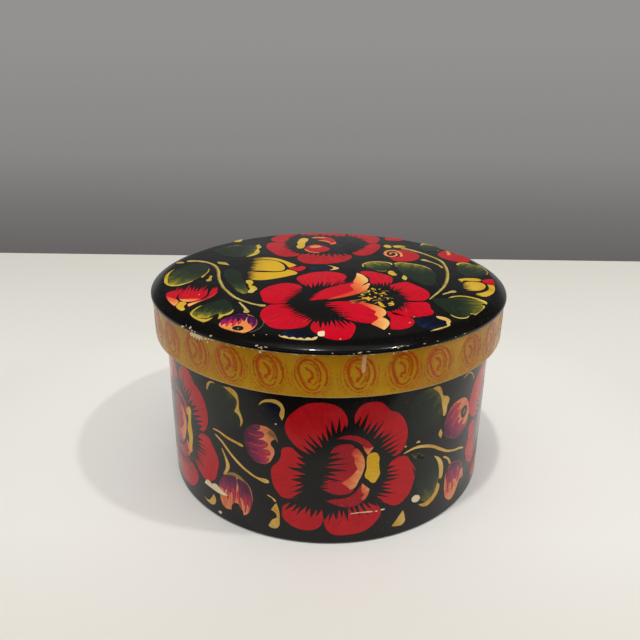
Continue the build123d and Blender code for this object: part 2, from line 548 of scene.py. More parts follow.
HEART = (5, 35)
wall_petals = [
    combed([(7.8, 54.6), (8.1, 58), (7, 61), (4.7, 63.7), (0.7, 65.3), (-3.3, 65.5), (-7.3, 64.7),
            (-12, 61.3), (-15, 57.3), (-15.8, 53), (-15, 50.7), (-13.3, 48), (-10.7, 45.3), (-6, 42.8)],
           9, 6.6, HEART, 11, 2.2),
    combed([(26.3, 39.9), (28.7, 39.8), (30.7, 41.3), (32.3, 44.7), (32.8, 48.7), (32, 52.7), (30, 56.7),
            (27.3, 59.3), (24.7, 60.5), (22.7, 63), (20, 64.8), (16.7, 65.1), (14, 64.5), (12, 62.7),
            (10.7, 59.3), (11, 56.2)], 11, 7.0, HEART, 12, 3.0),
    combed([(20.6, 19.6), (22.6, 19), (24.7, 18), (27.3, 16.3), (30, 15.5), (33.3, 17.3), (36, 20.7),
            (37, 24), (37.9, 29.3), (36.7, 32.7), (34.7, 35.7), (33.3, 38), (30, 38.8), (27.3, 38),
            (25, 35.4)], 9, 5.6, (3, 32), 13, 1.8),
    combed([(-0.6, 14.2), (-0.3, 12), (0, 9.3), (1.3, 6.7), (4, 4.8), (8.7, 4.5), (14, 5), (18, 6.7),
            (21.3, 10), (23, 13.3), (22.6, 15.6), (20, 19.4)], 10, 6.4, HEART, 14, 0.0),
    combed([(-17, 19), (-17.3, 15.3), (-17.3, 12), (-14.7, 9), (-10.7, 7), (-6.7, 6.7), (-3.3, 7.7),
            (-1.3, 10), (-0.8, 13.3), (-1.2, 17.2)], 7, 4.2, (-1, 33), 15, 1.0),
    combed([(-9.8, 22.4), (-13.5, 21.5), (-16.7, 21.3), (-20, 24.7), (-21.5, 29.3), (-21.3, 34.7),
            (-18.7, 38), (-17.5, 40.7), (-17.3, 43.3), (-16, 44.8), (-13.3, 45.1), (-11.3, 43.3),
            (-8.6, 41)], 8, 5.8, (6, 33), 16, 1.0)]
wall_cup = [
    combed([(1.6, 43.6), (2.6, 45.3), (4.7, 47), (7.3, 47.5), (9.8, 47.2), (11.2, 45.6), (11.4, 43.6, 0),
            (11.2, 42), (12.4, 39), (12.7, 36, 0), (11.2, 34), (8.4, 31.2), (5.4, 29.6, 0), (2.2, 30.2),
            (0.6, 31)], 6, 6.6, (-16, 37), 17, 1.2),
    combed([(-1.2, 31.6), (2.6, 31.2), (5.8, 30.2), (9, 28.2), (11.4, 26, 0), (9.6, 24.8), (6.3, 24.2),
            (3.3, 24.7), (-1.2, 27)], 4, 3.6, (-16, 30), 19, 0.4),
    shape([(4, 50, 0), (7.4, 51.4), (9.8, 51.4), (13.2, 50.2), (16.6, 47.8), (18.4, 45.6, 0),
           (16.2, 44.8), (14.2, 46.6), (11.8, 48.4), (8.4, 49.6)]),
    shape([(0.4, 21.4, 0), (4.4, 19.4), (8.6, 18.2), (12.7, 18.9), (15.4, 21, 0), (14.2, 22.6, 0),
           (15.4, 24.6, 0), (14.2, 28.4, 0), (12.6, 26), (9.8, 23.4), (6.6, 22.4), (3.4, 22.2)])]
wall_cup_edge = [
    shape([(9.9, 42.9, 0), (11.6, 45.4), (13.2, 44), (14.7, 41.3), (15.3, 38), (14.8, 34.7), (13.2, 30.6),
           (11.1, 26.9), (9.8, 26.6, 0), (8.6, 28), (6.3, 29.9, 0), (9, 31.8), (11.4, 34.4),
           (12.5, 36.2, 0), (11.3, 38.8), (11.1, 41)], (15.5, 34, 4, 38)),
    shape([(14.2, 46.3, 0), (16.4, 45), (18.6, 45.3, 0), (17.6, 43.6), (16.4, 41.9, 0), (15, 44.2)],
          (19, 42, 10, 48)),
    shape([(14.4, 29.2, 0), (17.7, 26, 0), (17, 23.2), (15.4, 20.6, 0), (14.4, 21.8), (15.5, 23.6, 0),
           (14.3, 25.6), (14.4, 27.4)], (18.4, 27.4, 10, 22))]
wall_pistil = [
    shape([(16.4, 41.7), (19.3, 42.7), (21, 40.7), (21.1, 37.6), (21.4, 34.7), (21.7, 32.7), (20.8, 30.4),
           (19.3, 28.7), (16.9, 30.5), (15.6, 32), (16.1, 36), (16, 39.5)])]
left_pistil = [
    shape([(-68, 45.4), (-65.1, 47.2), (-64.9, 42.9), (-65.2, 39), (-64.5, 34.1), (-65.6, 28.6),
           (-67.4, 24.1), (-68.6, 27), (-68.2, 31.3), (-69, 35.2), (-67.5, 40.9)])]
for spot, (place_name, degrees) in enumerate(POPPY_AT.items()):
    rng = random.Random(40 + spot)
    step = (degrees - 360 if degrees > 180 else degrees) - POPPY_AT["front"]
    shift = {"dx": math.radians(step) * WALL_FLAT, "about": HEART}
    if spot:
        shift.update(turn=0.33 if place_name == "right" else rng.uniform(-0.03, 0.03),
                     size=rng.uniform(0.985, 1.01), dy=rng.uniform(-0.3, 0.2))
    centre = (HEART[0] + shift["dx"], HEART[1])
    for part, shapes, paint, slot, level in (
            ("petals", wall_petals, CRIMSON, "red_paint", 1),
            ("cup", wall_cup, CUP_CRIMSON, "red_paint", 1),
            ("cup_edge", wall_cup_edge, PEACH, "yellow_paint", 2),
            ("pistil", wall_pistil, GOLD, "yellow_paint", 2)):
        drawn = moved(shapes, **shift)
        if (place_name, part) == ("left", "pistil"):
            drawn = left_pistil
        film("wall_poppy_" + place_name + "_" + part, drawn, paint, "body", level, heart=centre)


# Leaves, buds and stems between the poppies. Leaves are a dark green glaze, almost black, with
# crescents of the yellow ground left along an edge. Buds are violet strokes over peach, and the
# stems are single pulls of a round brush that swell in the middle.
GREEN = glazed("green_glaze", (176, 134, 34), (88, 88, 28), (33, 44, 27), (17, 27, 20))
BLUE = glazed("blue_glaze", (16, 36, 60), (6, 18, 40), (3, 8, 24), (3, 6, 14), 7.0, 1.2)
BUD = brushed("bud_ground", (208, 88, 56), (226, 132, 80), (238, 178, 112), 0.9, 0.8)
VIOLET = glazed("violet_glaze", (212, 64, 70), (170, 44, 76), (128, 34, 76), (84, 16, 54), 9.0, 1.3)
MAGENTA = brushed("magenta_glaze", (156, 14, 44), (196, 34, 58), (222, 92, 82), 0.8, 0.5)
# Olive paint for the threads on the lid, and for a painted sheen at the tops of the wall's buds.
OLIVE = brushed("olive_glaze_and_sheen", (112, 84, 34), (146, 116, 58), (180, 148, 88), 0.8, 0.6)
EYE = brushed("eye_black", (12, 11, 10), (20, 18, 14), (34, 30, 24), 0.5, 0.4)
GREY = brushed("eye_grey", (82, 74, 62), (104, 96, 80), (128, 116, 96), 0.5, 0.4)


def pulled(points, widths):
    """One pull of a round brush along points, as wide at each as the width given there."""
    left, right = [], []
    for i, (x, y) in enumerate(points):
        ahead, behind = points[min(i + 1, len(points) - 1)], points[max(i - 1, 0)]
        dx, dy = ahead[0] - behind[0], ahead[1] - behind[1]
        long = math.hypot(dx, dy)
        half = widths[i] / 2
        left.append((x - dy / long * half, y + dx / long * half))
        right.append((x + dy / long * half, y - dx / long * half))
    return left + right[::-1], (*points[0], *points[-1])


def dab(x, y, wide, high, turn=0.0):
    """A small round touch of the brush."""
    c, s = math.cos(turn), math.sin(turn)
    ring = [(math.cos(math.tau * k / 8) * wide / 2, math.sin(math.tau * k / 8) * high / 2)
            for k in range(8)]
    return shape([(x + c * u - s * v, y + s * u + c * v) for u, v in ring])


gap_left = {
    "leaf": [
        shape([(-52, 59.3), (-51.7, 63.3), (-48.3, 65.7), (-43, 65.8), (-37.6, 64), (-35, 58.7),
               (-33.9, 54.7), (-35, 50), (-40.3, 47.3), (-45.7, 46), (-50.3, 49.3), (-52, 54.7)],
              (-31, 73, -47, 55))],
    "blue": [
        shape([(-26.2, 60.3), (-24, 62.8), (-20.5, 63.7), (-17.2, 62), (-17.2, 57.4), (-18, 54.6, 0),
               (-20.5, 54), (-24, 55.6)], (-16, 66, -24, 55))],
    "edges": [
        shape([(-52, 61.3, 0), (-51.1, 64.3), (-48.3, 65.8), (-46.6, 65.4, 0), (-48.8, 65), (-50.2, 63.6),
               (-51.2, 61.1, 0)]),
        shape([(-42.3, 65.4, 0), (-38.5, 65.9), (-35.7, 64.2), (-35, 61.3), (-34.9, 57.3), (-33.9, 54.7),
               (-33.5, 52.2), (-34.9, 49.6, 0), (-34.6, 52.4), (-35.6, 55), (-37.3, 56, 0), (-36.2, 58.7),
               (-36, 61.3), (-39, 63.7)]),
        shape([(-26.4, 61.3, 0), (-25, 63.5), (-22.3, 64.8), (-18.3, 64.8), (-16.2, 62.7), (-15.9, 59.3),
               (-16.8, 56.6, 0), (-17.8, 58.7), (-17.4, 62), (-20.3, 63.6), (-24.3, 63)]),
        shape([(-19.7, 18, 0), (-18.6, 14), (-18.5, 10.7), (-19.3, 6), (-22.3, 5.2), (-23.4, 6, 0),
               (-21.7, 9.3), (-19.8, 11), (-20, 12.7), (-22.1, 14.3, 0), (-20.7, 16.7)]),
        shape([(-51.4, 11, 0), (-50.2, 8), (-52, 5.1), (-55, 4.5), (-58.4, 6, 0), (-55.2, 5.9),
               (-53.4, 7.8)])],
    "bud": [
        shape([(-33.3, 45.3), (-32.3, 49.3), (-29.7, 52), (-25.7, 52.8), (-21.7, 52), (-19.3, 49.3),
               (-18.6, 46.4, 0), (-19.6, 48, 0), (-21.4, 46.4), (-21.6, 44.8, 0), (-20.2, 42.8),
               (-21, 39), (-22.6, 36.6), (-25.7, 35.3), (-29.7, 36.7), (-32.3, 40.7)]),
        shape([(-47.3, 18.7), (-45, 22.7), (-41.7, 26), (-38.7, 26.9), (-35, 25.7), (-31.7, 22.7),
               (-30.4, 18.7), (-31, 13.3), (-33, 8.7), (-35, 7.2, 0), (-35.6, 10.2), (-38, 12.1),
               (-40.6, 10.6), (-41.3, 7.5, 0), (-45, 7.2), (-46.8, 9.3), (-47.4, 13.3)])],
    "violet": [
        shape([(-26.2, 52.7), (-29.7, 52), (-32.3, 49.3), (-33.3, 45.3), (-32.3, 40.7), (-29.7, 36.7),
               (-25.7, 35.3), (-23.4, 36.1, 0), (-22.4, 38.2), (-23.8, 39.2, 0), (-21.6, 40.6), (-22, 42),
               (-25, 42.4, 0), (-22.6, 44.6), (-23.6, 46), (-26.8, 46.4, 0), (-24.2, 48.6), (-24.8, 49.8),
               (-27.4, 50, 0), (-25.8, 51.4)], (-20, 44, -32, 44.6)),
        shape([(-47.3, 16.8), (-46.9, 20), (-44.8, 23), (-41.8, 25.7), (-39, 26.3), (-37.8, 24.2),
               (-38.2, 18.8), (-38.6, 13.4, 0), (-40, 17), (-41, 16.4), (-41.6, 12.2, 0), (-42.8, 16.8),
               (-44, 16.6), (-44.8, 13.6, 0), (-45.6, 16.4)], (-41.6, 11, -43, 24)),
        shape([(-37, 20.4), (-37.3, 24.6), (-35, 25.4), (-32, 22.6), (-30.6, 17.6), (-31.2, 12.6),
               (-32.6, 9.2, 0), (-33, 13.2), (-33.8, 13.2), (-34.9, 10.4, 0), (-35.1, 14.8),
               (-36.4, 15.6), (-37.4, 12.6, 0), (-37.5, 17.2)], (-34.4, 9, -34, 21.6))],
    "magenta": [
        pulled([(-40, 19), (-39.6, 15), (-39.8, 11.6)], (0.4, 1.3, 0.4)),
        pulled([(-42.4, 19), (-42.9, 15.2), (-43, 12)], (0.3, 0.8, 0.3)),
        pulled([(-37.6, 18), (-36.8, 13.6), (-35.8, 9.4)], (0.5, 1.3, 0.4)),
        pulled([(-33.8, 18), (-33.6, 13.6), (-34.2, 9)], (0.3, 0.8, 0.3)),
        pulled([(-31, 48.2), (-27.4, 47.8), (-24.6, 48.6)], (0.2, 0.6, 0.3)),
        pulled([(-31, 43.8), (-27, 43.4), (-23.4, 44.6)], (0.2, 0.6, 0.3)),
        pulled([(-30.6, 40.4), (-26.8, 39.8), (-23.4, 40.6)], (0.2, 0.6, 0.3))],
    # The olive crescents at the tops of the buds are a painted sheen.
    "olive_sheen": [
        shape([(-44, 23.9, 0), (-41.7, 26), (-38.7, 26.9), (-35, 25.7), (-32.6, 23.7, 0), (-35.4, 24.5),
               (-38.2, 25.3), (-41.4, 24.9)]),
        shape([(-21.8, 52, 0), (-19.4, 49.4), (-18.8, 47, 0), (-20.6, 48.4), (-22.8, 50.2)])],
    "notch": [dab(-38, 9.2, 4.4, 4.0)],
    "stems": [
        pulled([(-49.4, 44), (-46.3, 44), (-41.7, 42.7), (-37.7, 42), (-33.8, 41.2)],
               (0.2, 0.8, 1.1, 1.1, 0.5)),
        pulled([(-48.3, 41.8), (-45, 40), (-40.3, 35.7), (-35.7, 32), (-32.3, 30), (-28.3, 28.2),
                (-22.8, 27.4)], (0.2, 1.0, 1.1, 1.2, 1.0, 0.9, 0.9)),
        pulled([(-44.9, 36.6), (-43, 32.7), (-42, 29.3), (-42.6, 27), (-44.6, 24)],
               (0.2, 1.1, 1.9, 1.6, 0.3)),
        pulled([(-23.6, 21), (-21.6, 20.2), (-20, 18.6)], (0.2, 0.5, 0.4))]}
gap_right = {
    "leaf": [
        shape([(33, 58.7), (34.7, 64), (39.3, 65.9), (44.7, 65.4), (48.7, 60.7), (49.6, 54.7),
               (48.7, 49.3), (44, 47.3), (38, 45.3), (34.7, 48.7)], (54, 66, 38, 54)),
        shape([(35.2, 38.4, 0), (40, 37.5), (44.7, 35), (48.7, 32), (50.8, 26.7), (51.4, 20.7),
               (50.2, 15.3), (46.7, 12), (42.7, 13.1), (40, 18.7), (38, 25.3), (36.3, 32)],
              (50, 8, 41, 26)),
        shape([(35.3, 38.2, 0), (39.3, 37.6), (43.6, 34.4, 0), (41, 34.2), (37.4, 35.6)],
              (34, 41, 46, 31))],
    "edges": [
        shape([(43.3, 65.8, 0), (46.7, 65.8), (48.6, 63.3), (49.4, 61), (52.6, 59.4), (53.6, 57.3),
               (52.6, 55.3), (52.2, 52), (51, 51), (50.2, 53.3), (49.2, 57.3), (47.9, 61.3), (46, 63.7)]),
        shape([(47.2, 33.8, 0), (50.7, 31.4), (53, 28), (53.8, 23.3), (52.7, 20.2), (51.4, 21, 0),
               (51.1, 25.3), (50, 29.3)]),
        shape([(50.7, 19, 0), (52.2, 17.6), (52.2, 15.4), (50.7, 12.6), (47.3, 10), (44, 9.8),
               (40.6, 12.2, 0), (44, 11.8), (47.3, 12.8), (49.4, 15.3)]),
        shape([(33, 12, 0), (34, 9.3), (33.8, 5.2), (30, 4.8), (28.2, 5.4, 0), (30.2, 8)]),
        shape([(49.8, 45.4, 0), (51, 43.2), (50.4, 40.9, 0), (48.8, 43.4)]),
        shape([(37, 43, 0), (38.4, 43.8), (39.2, 42.7, 0)]),
        shape([(31.8, 43.2, 0), (32.8, 42.8), (32, 42.2, 0)])],
    "bud": [
        shape([(52, 44), (52.8, 49.3), (55.3, 53.3), (60, 54.9), (65.3, 54), (68.7, 50.7), (70.5, 46),
               (69.4, 41.3), (67.3, 38.2), (62, 36.7), (56, 38.7), (53, 41.3)]),
        shape([(56, 21.3), (58, 24.3), (62.7, 24.4), (67.3, 22), (70, 17.3), (71.4, 11.8, 0), (68, 12),
               (65.4, 8), (62, 5.2), (58, 7.3), (56, 12), (55.6, 16.7)])],
    "violet": [
        shape([(52, 44), (52.8, 49), (55, 52.8), (57.8, 54.1), (60.8, 53.4, 0), (59.6, 50.6),
               (62.2, 50.4, 0), (60.4, 47.2), (63, 46, 0), (61.6, 43.6), (66.4, 43.4, 0), (65.2, 41.6),
               (68.8, 41, 0), (67, 38), (62, 36.8), (56, 38.8), (53, 41.4)], (66, 50, 54, 40)),
        shape([(56, 20.6), (57.6, 23.8), (62.7, 24.3), (67.3, 21.9), (69.8, 17.6, 0), (67.6, 16),
               (67.6, 11.8, 0), (65.6, 15.4), (64.4, 9.8, 0), (63, 15.2), (61.2, 8.6, 0), (60.2, 14.6),
               (58, 10.4, 0), (57.2, 15.8)], (63, 8, 61, 24))],
    "magenta": [
        pulled([(56, 48), (59, 51), (62, 53.2)], (0.3, 1.6, 0.4)),
        pulled([(56.4, 43.4), (60, 46.8), (63.4, 49.6)], (0.3, 1.5, 0.3)),
        pulled([(60, 41), (63.4, 43.2), (66.6, 45)], (0.3, 1.2, 0.3)),
        pulled([(60, 21), (61.4, 15), (62.4, 9.6)], (0.3, 1.2, 0.3)),
        pulled([(65, 21), (65.8, 16), (66, 11.8)], (0.3, 1.1, 0.3)),
        pulled([(57.4, 19), (58.4, 14), (59, 10)], (0.3, 0.9, 0.3))],
    "notch": [dab(65.6, 47.3, 5.0, 5.6)],
    "eye": [dab(65.7, 47.4, 2.2, 2.8)],
    "stems": [
        pulled([(31.6, 39.6), (36.7, 40.9), (41.3, 40.3), (46, 38.6), (50.7, 35.6), (55.3, 32.8),
                (60.7, 30.8), (65.3, 29.7), (68.4, 28.2)], (0.2, 1.1, 1.3, 1.3, 1.3, 1.1, 0.9, 0.9, 0.3)),
        pulled([(53.2, 30.8), (56.6, 28.3), (58.4, 25.2)], (0.3, 0.9, 0.5)),
        pulled([(62.6, 63.9), (66, 65), (70, 63.3), (71.8, 60.2)], (0.2, 0.5, 0.6, 0.2))]}
gaps = (("front_left", gap_left, 0.0, 10), ("front_right", gap_right, 0.0, 11),
        ("rear_right", gap_left, 182.1, 10), ("rear", gap_right, 191.9, 4),
        ("rear_left", gap_right, -179.2, 9))
for place_name, motif, move, seed in gaps:
    twist = random.Random(seed).uniform(-0.04, 0.04) if move else 0.0
    middle = (-39, 36) if motif is gap_left else (49, 36)
    for part, paint, slot, level in (
            ("leaf", GREEN, "green_paint", 1), ("blue", BLUE, "black_lacquer", 1),
            ("edges", STRAW, "yellow_paint", 2), ("bud", BUD, "yellow_paint", 1),
            ("olive_sheen", OLIVE, "green_paint", 3), ("violet", VIOLET, "violet_paint", 2),
            ("magenta", MAGENTA, "violet_paint", 3), ("notch", EYE, "black_lacquer", 4),
            ("stems", STRAW, "yellow_paint", 2)):
        if part in motif:
            film("wall_" + part + "_" + place_name,
                 moved(motif[part], move, turn=twist, about=middle), paint, "body", level,
                 heart=(middle[0] + move, middle[1]))
    if "eye" in motif:
        film("wall_bud_eye_" + place_name, moved(motif["eye"], move, turn=twist, about=middle),
             GREY, "body", 5)


# The lid's ring. Turned a little wider than the wall so that it slips down over it, lacquered
# ochre outside, dull black inside, and worn to the wood along its edges.
RING_RADIUS = 79.06
RING_BORE = 75.05
RING_LOW = 69.8
RING_TOP = 87.2
RING_CHAMFER = 0.8
RING_SHEEN = 0.3
RING_ROUGHNESS = 0.16


def ochre_coat(tree, place):
    """Ochre lacquer, toned by greenish and orange clouds."""
    cloud = noise_of(tree, place, 46, 3.0, 0.55)
    base = blend_of(tree, ramp_of(tree, cloud, 0.34, 0.66), colour(176, 122, 0), colour(192, 142, 2))
    warm = noise_of(tree, place, 88, 2.0)
    base = blend_of(tree, ramp_of(tree, warm, 0.56, 0.74, 0.0, 0.55), base, colour(186, 110, 2))
    fine = noise_of(tree, place, 640, 2.0)
    return blend_of(tree, ramp_of(tree, fine, 0.52, 0.75, 0.0, 0.22), base, colour(204, 150, 34))


def ring_paint(tree):
    """Ochre outside, dull black inside, and worn to the wood along both edges, most below."""
    place = object_place(tree)
    z, radius = height_and_radius(tree)
    inside, cloud = dull_black(tree, place)
    base = blend_of(tree, between(tree, radius, 77.2, 78.2), inside, ochre_coat(tree, place))
    ragged = sum_of(tree, "MULTIPLY", noise_of(tree, place, 240, 4.0, 0.7), 0.9)
    near_low = sum_of(tree, "ADD", between(tree, z, RING_LOW + 0.9, RING_LOW + 0.2), ragged)
    near_top = sum_of(tree, "ADD", between(tree, z, RING_TOP - 0.8, RING_TOP - 0.1), ragged)
    low = ramp_of(tree, near_low, 0.86, 1.1)
    high = ramp_of(tree, near_top, 1.02, 1.16)
    worn = sum_of(tree, "MAXIMUM", low, sum_of(tree, "MULTIPLY", high, 0.7))
    return blend_of(tree, worn, base, bare_wood(tree, place, (1, 1, 0.2))), cloud


lid_rim = turned("lid_rim",
                 [(RING_RADIUS, RING_LOW), (RING_RADIUS, RING_TOP), (RING_BORE, RING_TOP),
                  (RING_BORE, RING_LOW + RING_CHAMFER), (RING_BORE + RING_CHAMFER, RING_LOW)],
                 [((RING_RADIUS, RING_LOW), 0.7), ((RING_RADIUS, RING_TOP), 0.15)],
                 lacquered("ochre_lacquer", ring_paint, roughness=RING_ROUGHNESS, sheen=RING_SHEEN))
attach(lid_rim, "lid")
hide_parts("lid_ring")


# The swirls round the ring. One stamp, cut as a curl inside broken ovals with a ring of beads,
# pressed on thirty times in orange red, so each print is a little turned, starved or blurred.
SWIRLS = 30
FIRST_SWIRL = -3.9
SWIRL_Z = 78.9
RING_FLAT = 79.085
LINE_WIDTHS = {"glow": 1.6, "bold": 0.78, "fine": 0.9, "faint": 0.9}


def round_ring(x, y, lift):
    """Wraps a flat place round the ring."""
    return round_wall(x, y, lift, RING_RADIUS, RING_FLAT)


def stamp_red(ink):
    """Orange red that breaks up into the ochre where the stamp ran dry."""
    def under(tree):
        flat = put(tree, "ShaderNodeUVMap", uv_map="flat").outputs[0]
        dry = noise_of(tree, flat, 7.5, 4.0, 0.65)
        wet = sum_of(tree, "MULTIPLY_ADD", noise_of(tree, flat, 15, 2.0, 0.7), 0.75, dry)
        red = blend_of(tree, ramp_of(tree, noise_of(tree, flat, 2.2, 2.0), 0.4, 0.65),
                       colour(182, 50, 0), colour(160, 60, 0))
        share = ramp_of(tree, sum_of(tree, "ADD", wet, ink), 0.72, 1.02, 0.0, 0.88)
        return blend_of(tree, share, ochre_coat(tree, object_place(tree)), red), dry

    return lacquered("stamp_red", under, roughness=RING_ROUGHNESS, sheen=RING_SHEEN)


stamp_lines = [
    ("bold", [(3.4, -3.2), (2.3, -4.9), (0.4, -5.6), (-1.6, -4.6), (-3.0, -2.4), (-3.9, 0.2), (-4.3, 2.6),
              (-3.6, 5.0), (-1.6, 6.3), (0.6, 6.1), (2.4, 4.4), (3.5, 2.0), (3.7, -0.6), (3.2, -2.6)],
     [0.2, 0.5, 0.6, 0.8, 1.0, 1.1, 1.3, 1.3, 1.1, 0.9, 0.8, 0.7, 0.6, 0.3]),
    ("bold", [(-1.9, 3.6), (-1.1, 2.9), (-0.1, 2.2), (0.6, 1.2), (0.8, 0.1), (0.4, -1.0), (-0.4, -1.5),
              (-0.5, -2.6)], [0.3, 0.8, 1.0, 1.0, 1.1, 1.0, 1.0, 1.1]),
    ("fine", [(-2.0, 4.9), (0.0, 4.8), (1.6, 3.6), (2.3, 1.4), (2.2, -1.0), (1.8, -2.8), (0.6, -3.8)],
     [0.2, 0.5, 0.6, 0.6, 0.5, 0.5, 0.2]),
    ("fine", [(-2.8, -0.6), (-2.4, -2.2), (-1.4, -3.6)], [0.2, 0.5, 0.2]),
    ("bold", [(1.4, 6.9), (3.4, 5.9), (5.0, 3.8), (5.9, 1.2), (5.9, -1.6), (4.9, -4.2)],
     [0.3, 0.8, 1.0, 0.9, 0.8, 0.3]),
    ("fine", [(-1.0, 7.4), (-3.6, 6.8), (-5.2, 4.6), (-5.7, 1.8), (-5.3, -1.2), (-4.0, -4.0),
              (-1.8, -6.2), (0.8, -6.9), (3.2, -6.2), (4.6, -4.9)],
     [0.3, 0.5, 0.6, 0.7, 0.7, 0.7, 0.6, 0.6, 0.5, 0.2]),
    ("faint", [(-6.6, 2.4), (-6.9, -0.8), (-6.1, -3.8), (-4.4, -6.2), (-1.8, -7.9)],
     [0.2, 0.45, 0.5, 0.5, 0.2]),
    ("faint", [(6.6, 4.6), (7.3, 2.0), (7.2, -1.0), (6.4, -3.9), (4.8, -6.3), (2.4, -7.8), (-0.4, -8.3)],
     [0.2, 0.45, 0.5, 0.5, 0.45, 0.4, 0.2]),
    ("fine", [(-4.6, 5.6), (-3.0, 7.2), (-0.8, 7.8), (1.6, 7.4)], [0.2, 0.4, 0.4, 0.2]),
    ("fine", [(1.0, 5.0), (2.2, 3.4), (2.8, 1.4), (2.9, -0.8), (2.5, -2.6)],
     [0.15, 0.35, 0.4, 0.35, 0.15])]
stamp_lines += [("glow", points, widths) for ink, points, widths in stamp_lines if ink == "bold"]
bead_angles = [math.radians(20 - 5.6 * k) for k in range(38)]
beads = [(math.cos(a) * 8.0, math.sin(a) * 8.9 - 0.4) for a in bead_angles
         if abs(math.sin(a) * 8.9 - 0.4) < 8.2]
prints = {"glow": [], "bold": [], "fine": [], "beads": [], "faint": []}
for number in range(SWIRLS):
    rng = random.Random(700 + number)
    x = math.radians(FIRST_SWIRL + 360 / SWIRLS * number) * RING_FLAT + rng.uniform(-0.7, 0.7)
    y = SWIRL_Z + rng.uniform(-0.4, 0.5)
    lean, size = rng.uniform(-0.12, 0.1), rng.uniform(0.94, 1.0)
    for ink, points, widths in stamp_lines:
        line = pulled(points, [w * LINE_WIDTHS[ink] * rng.uniform(0.7, 1.3) for w in widths])
        ((line, along),) = moved([line], x, y, lean, size)
        line = [(u, min(max(v, RING_LOW + 0.9), RING_TOP - 0.3)) for u, v in line]
        prints[ink].append((line, along))
    for bx, by in beads:
        if rng.random() < 0.75:
            bead = rng.uniform(0.35, 0.62)
            touch = dab(bx + rng.uniform(-0.2, 0.2), by, bead, bead)
            ((line, along),) = moved([touch], x, y, lean, size)
            if RING_LOW + 0.9 < line[0][1] < RING_TOP - 0.4:
                prints["beads"].append((line, along))
for ink, strength, level in (("glow", -0.04, 1), ("bold", 0.36, 2), ("fine", 0.06, 2),
                             ("beads", 0.06, 2), ("faint", -0.04, 2)):
    film("ring_swirls_" + ink, prints[ink], stamp_red(strength), "lid", level,
         heart=(0, SWIRL_Z), wrap=round_ring)


# The lid's board. A turned disc with a well rounded edge and a shallow step below that locates
# the ring, glued down on it and coated in the same polished black as the wall.
TOP_Z = 91.0
EDGE = [(79.8, 87.6), (79.8, 88.05), (79.74, 88.4), (79.6, 88.68), (79.38, 88.9), (79.05, 89.15),
        (78.6, 89.44), (78.05, 89.76), (77.4, 90.1), (76.7, 90.42), (76, 90.68), (75.3, 90.88),
        (74.6, 90.98), (74, TOP_Z)]
SPIGOT_RADIUS = 74.97
SPIGOT_LOW = 85.25
LID_SHEEN = 0.12


def lid_paint(tree):
    """Polished black on top and round the edge, dull black below, chipped where it meets the ring."""
    place = object_place(tree)
    z, radius = height_and_radius(tree)
    inside, cloud = dull_black(tree, place)
    top = black_coat(tree, place)
    shader = tree.nodes["Principled BSDF"]
    tree.links.new(between(tree, z, 90.6, 89.2, 0.0, 0.3), shader.inputs["Coat Weight"])
    shader.inputs["Coat Roughness"].default_value = 0.06
    under = sum_of(tree, "MULTIPLY", between(tree, radius, 78.7, 78.5), between(tree, z, 87.5, 87.3))
    ragged = noise_of(tree, place, 300, 4.0, 0.7)
    edge = sum_of(tree, "MULTIPLY", between(tree, z, 87.8, 87.3), between(tree, radius, 79.0, 79.3))
    worn = ramp_of(tree, sum_of(tree, "MULTIPLY_ADD", ragged, 1.1, edge), 1.47, 1.57)
    return blend_of(tree, worn, blend_of(tree, under, top, inside), bare_wood(tree, place)), cloud


lid_top = turned("lid_top",
                 [(0, SPIGOT_LOW), (SPIGOT_RADIUS, SPIGOT_LOW), (SPIGOT_RADIUS, RING_TOP + 0.02),
                  (79.55, RING_TOP + 0.02), (79.74, RING_TOP + 0.16)] + EDGE + [(0, TOP_Z)], [],
                 lacquered("black_lacquer_lid", lid_paint, waves=0.00006, sheen=LID_SHEEN))
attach(lid_top, "lid")
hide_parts("lid_board")


# The flower at the front of the lid: four combed petals round a dark heart, and two long inner
# petals that curl over it with their edges left in bare peach ground.
LID_FLAT = 73.4
LID_GIVE = 3
LID_SKIRT = 0.3


def flat_lid(x, y, lift):
    """Flat on the lid. Past LID_FLAT a place is drawn in, and none lies past LID_FLAT + LID_GIVE."""
    far = math.hypot(x, y)
    drawn_in = 1.0
    if far >= LID_FLAT:
        drawn_in = (LID_FLAT + LID_GIVE * (1 - math.exp((LID_FLAT - far) / LID_GIVE))) / far
    height = TOP_Z + (lift if lift > 0 else -LID_SKIRT)
    return (x * drawn_in * MM, y * drawn_in * MM, height * MM)


def lid_film(name, shapes, paint, level=1, heart=(0, 0)):
    """One coat of paint, flat on the lid."""
    film("lid_" + name, shapes, paint, "lid", level, heart, flat_lid, 0)


def on_lid(make, name, *values):
    """A paint under the lid's lacquer, which mirrors less than the wall's."""
    return make(name, *values, sheen=LID_SHEEN)


CRIMSON_TOP = on_lid(brushed, "crimson_glaze_lid", (148, 0, 16), (198, 0, 30), (210, 8, 42), 0.65, 0.5)
CRIMSON_REAR = on_lid(brushed, "crimson_glaze_rear", (136, 2, 10), (176, 6, 20), (190, 18, 32), 0.65, 0.5)
PEACH_TOP = on_lid(brushed, "peach_ground_lid", (214, 96, 44), (226, 134, 66), (236, 170, 96), 0.9, 0.7)
PEACH_RIM = on_lid(glazed, "peach_rim_lid", (238, 184, 108), (232, 150, 80), (226, 112, 58),
                   (212, 70, 40), 5.0, 0.5)
YELLOW_TOP = on_lid(brushed, "yellow_paint_lid", (178, 132, 20), (208, 166, 36), (218, 186, 84), 0.7, 0.6)
STEM = on_lid(brushed, "stem_paint", (144, 120, 42), (178, 152, 66), (206, 188, 124), 0.8, 0.7)
LEAF_EDGE = on_lid(brushed, "leaf_edge_paint", (164, 134, 24), (202, 170, 46), (214, 194, 104), 0.9, 0.8)
CREAM = on_lid(brushed, "cream_paint", (190, 142, 62), (216, 176, 90), (236, 208, 148), 0.9, 0.8)
TULIP = on_lid(glazed, "tulip_yellow", (66, 54, 18), (130, 102, 20), (198, 154, 24), (212, 168, 32), 16.0,
               0.8)
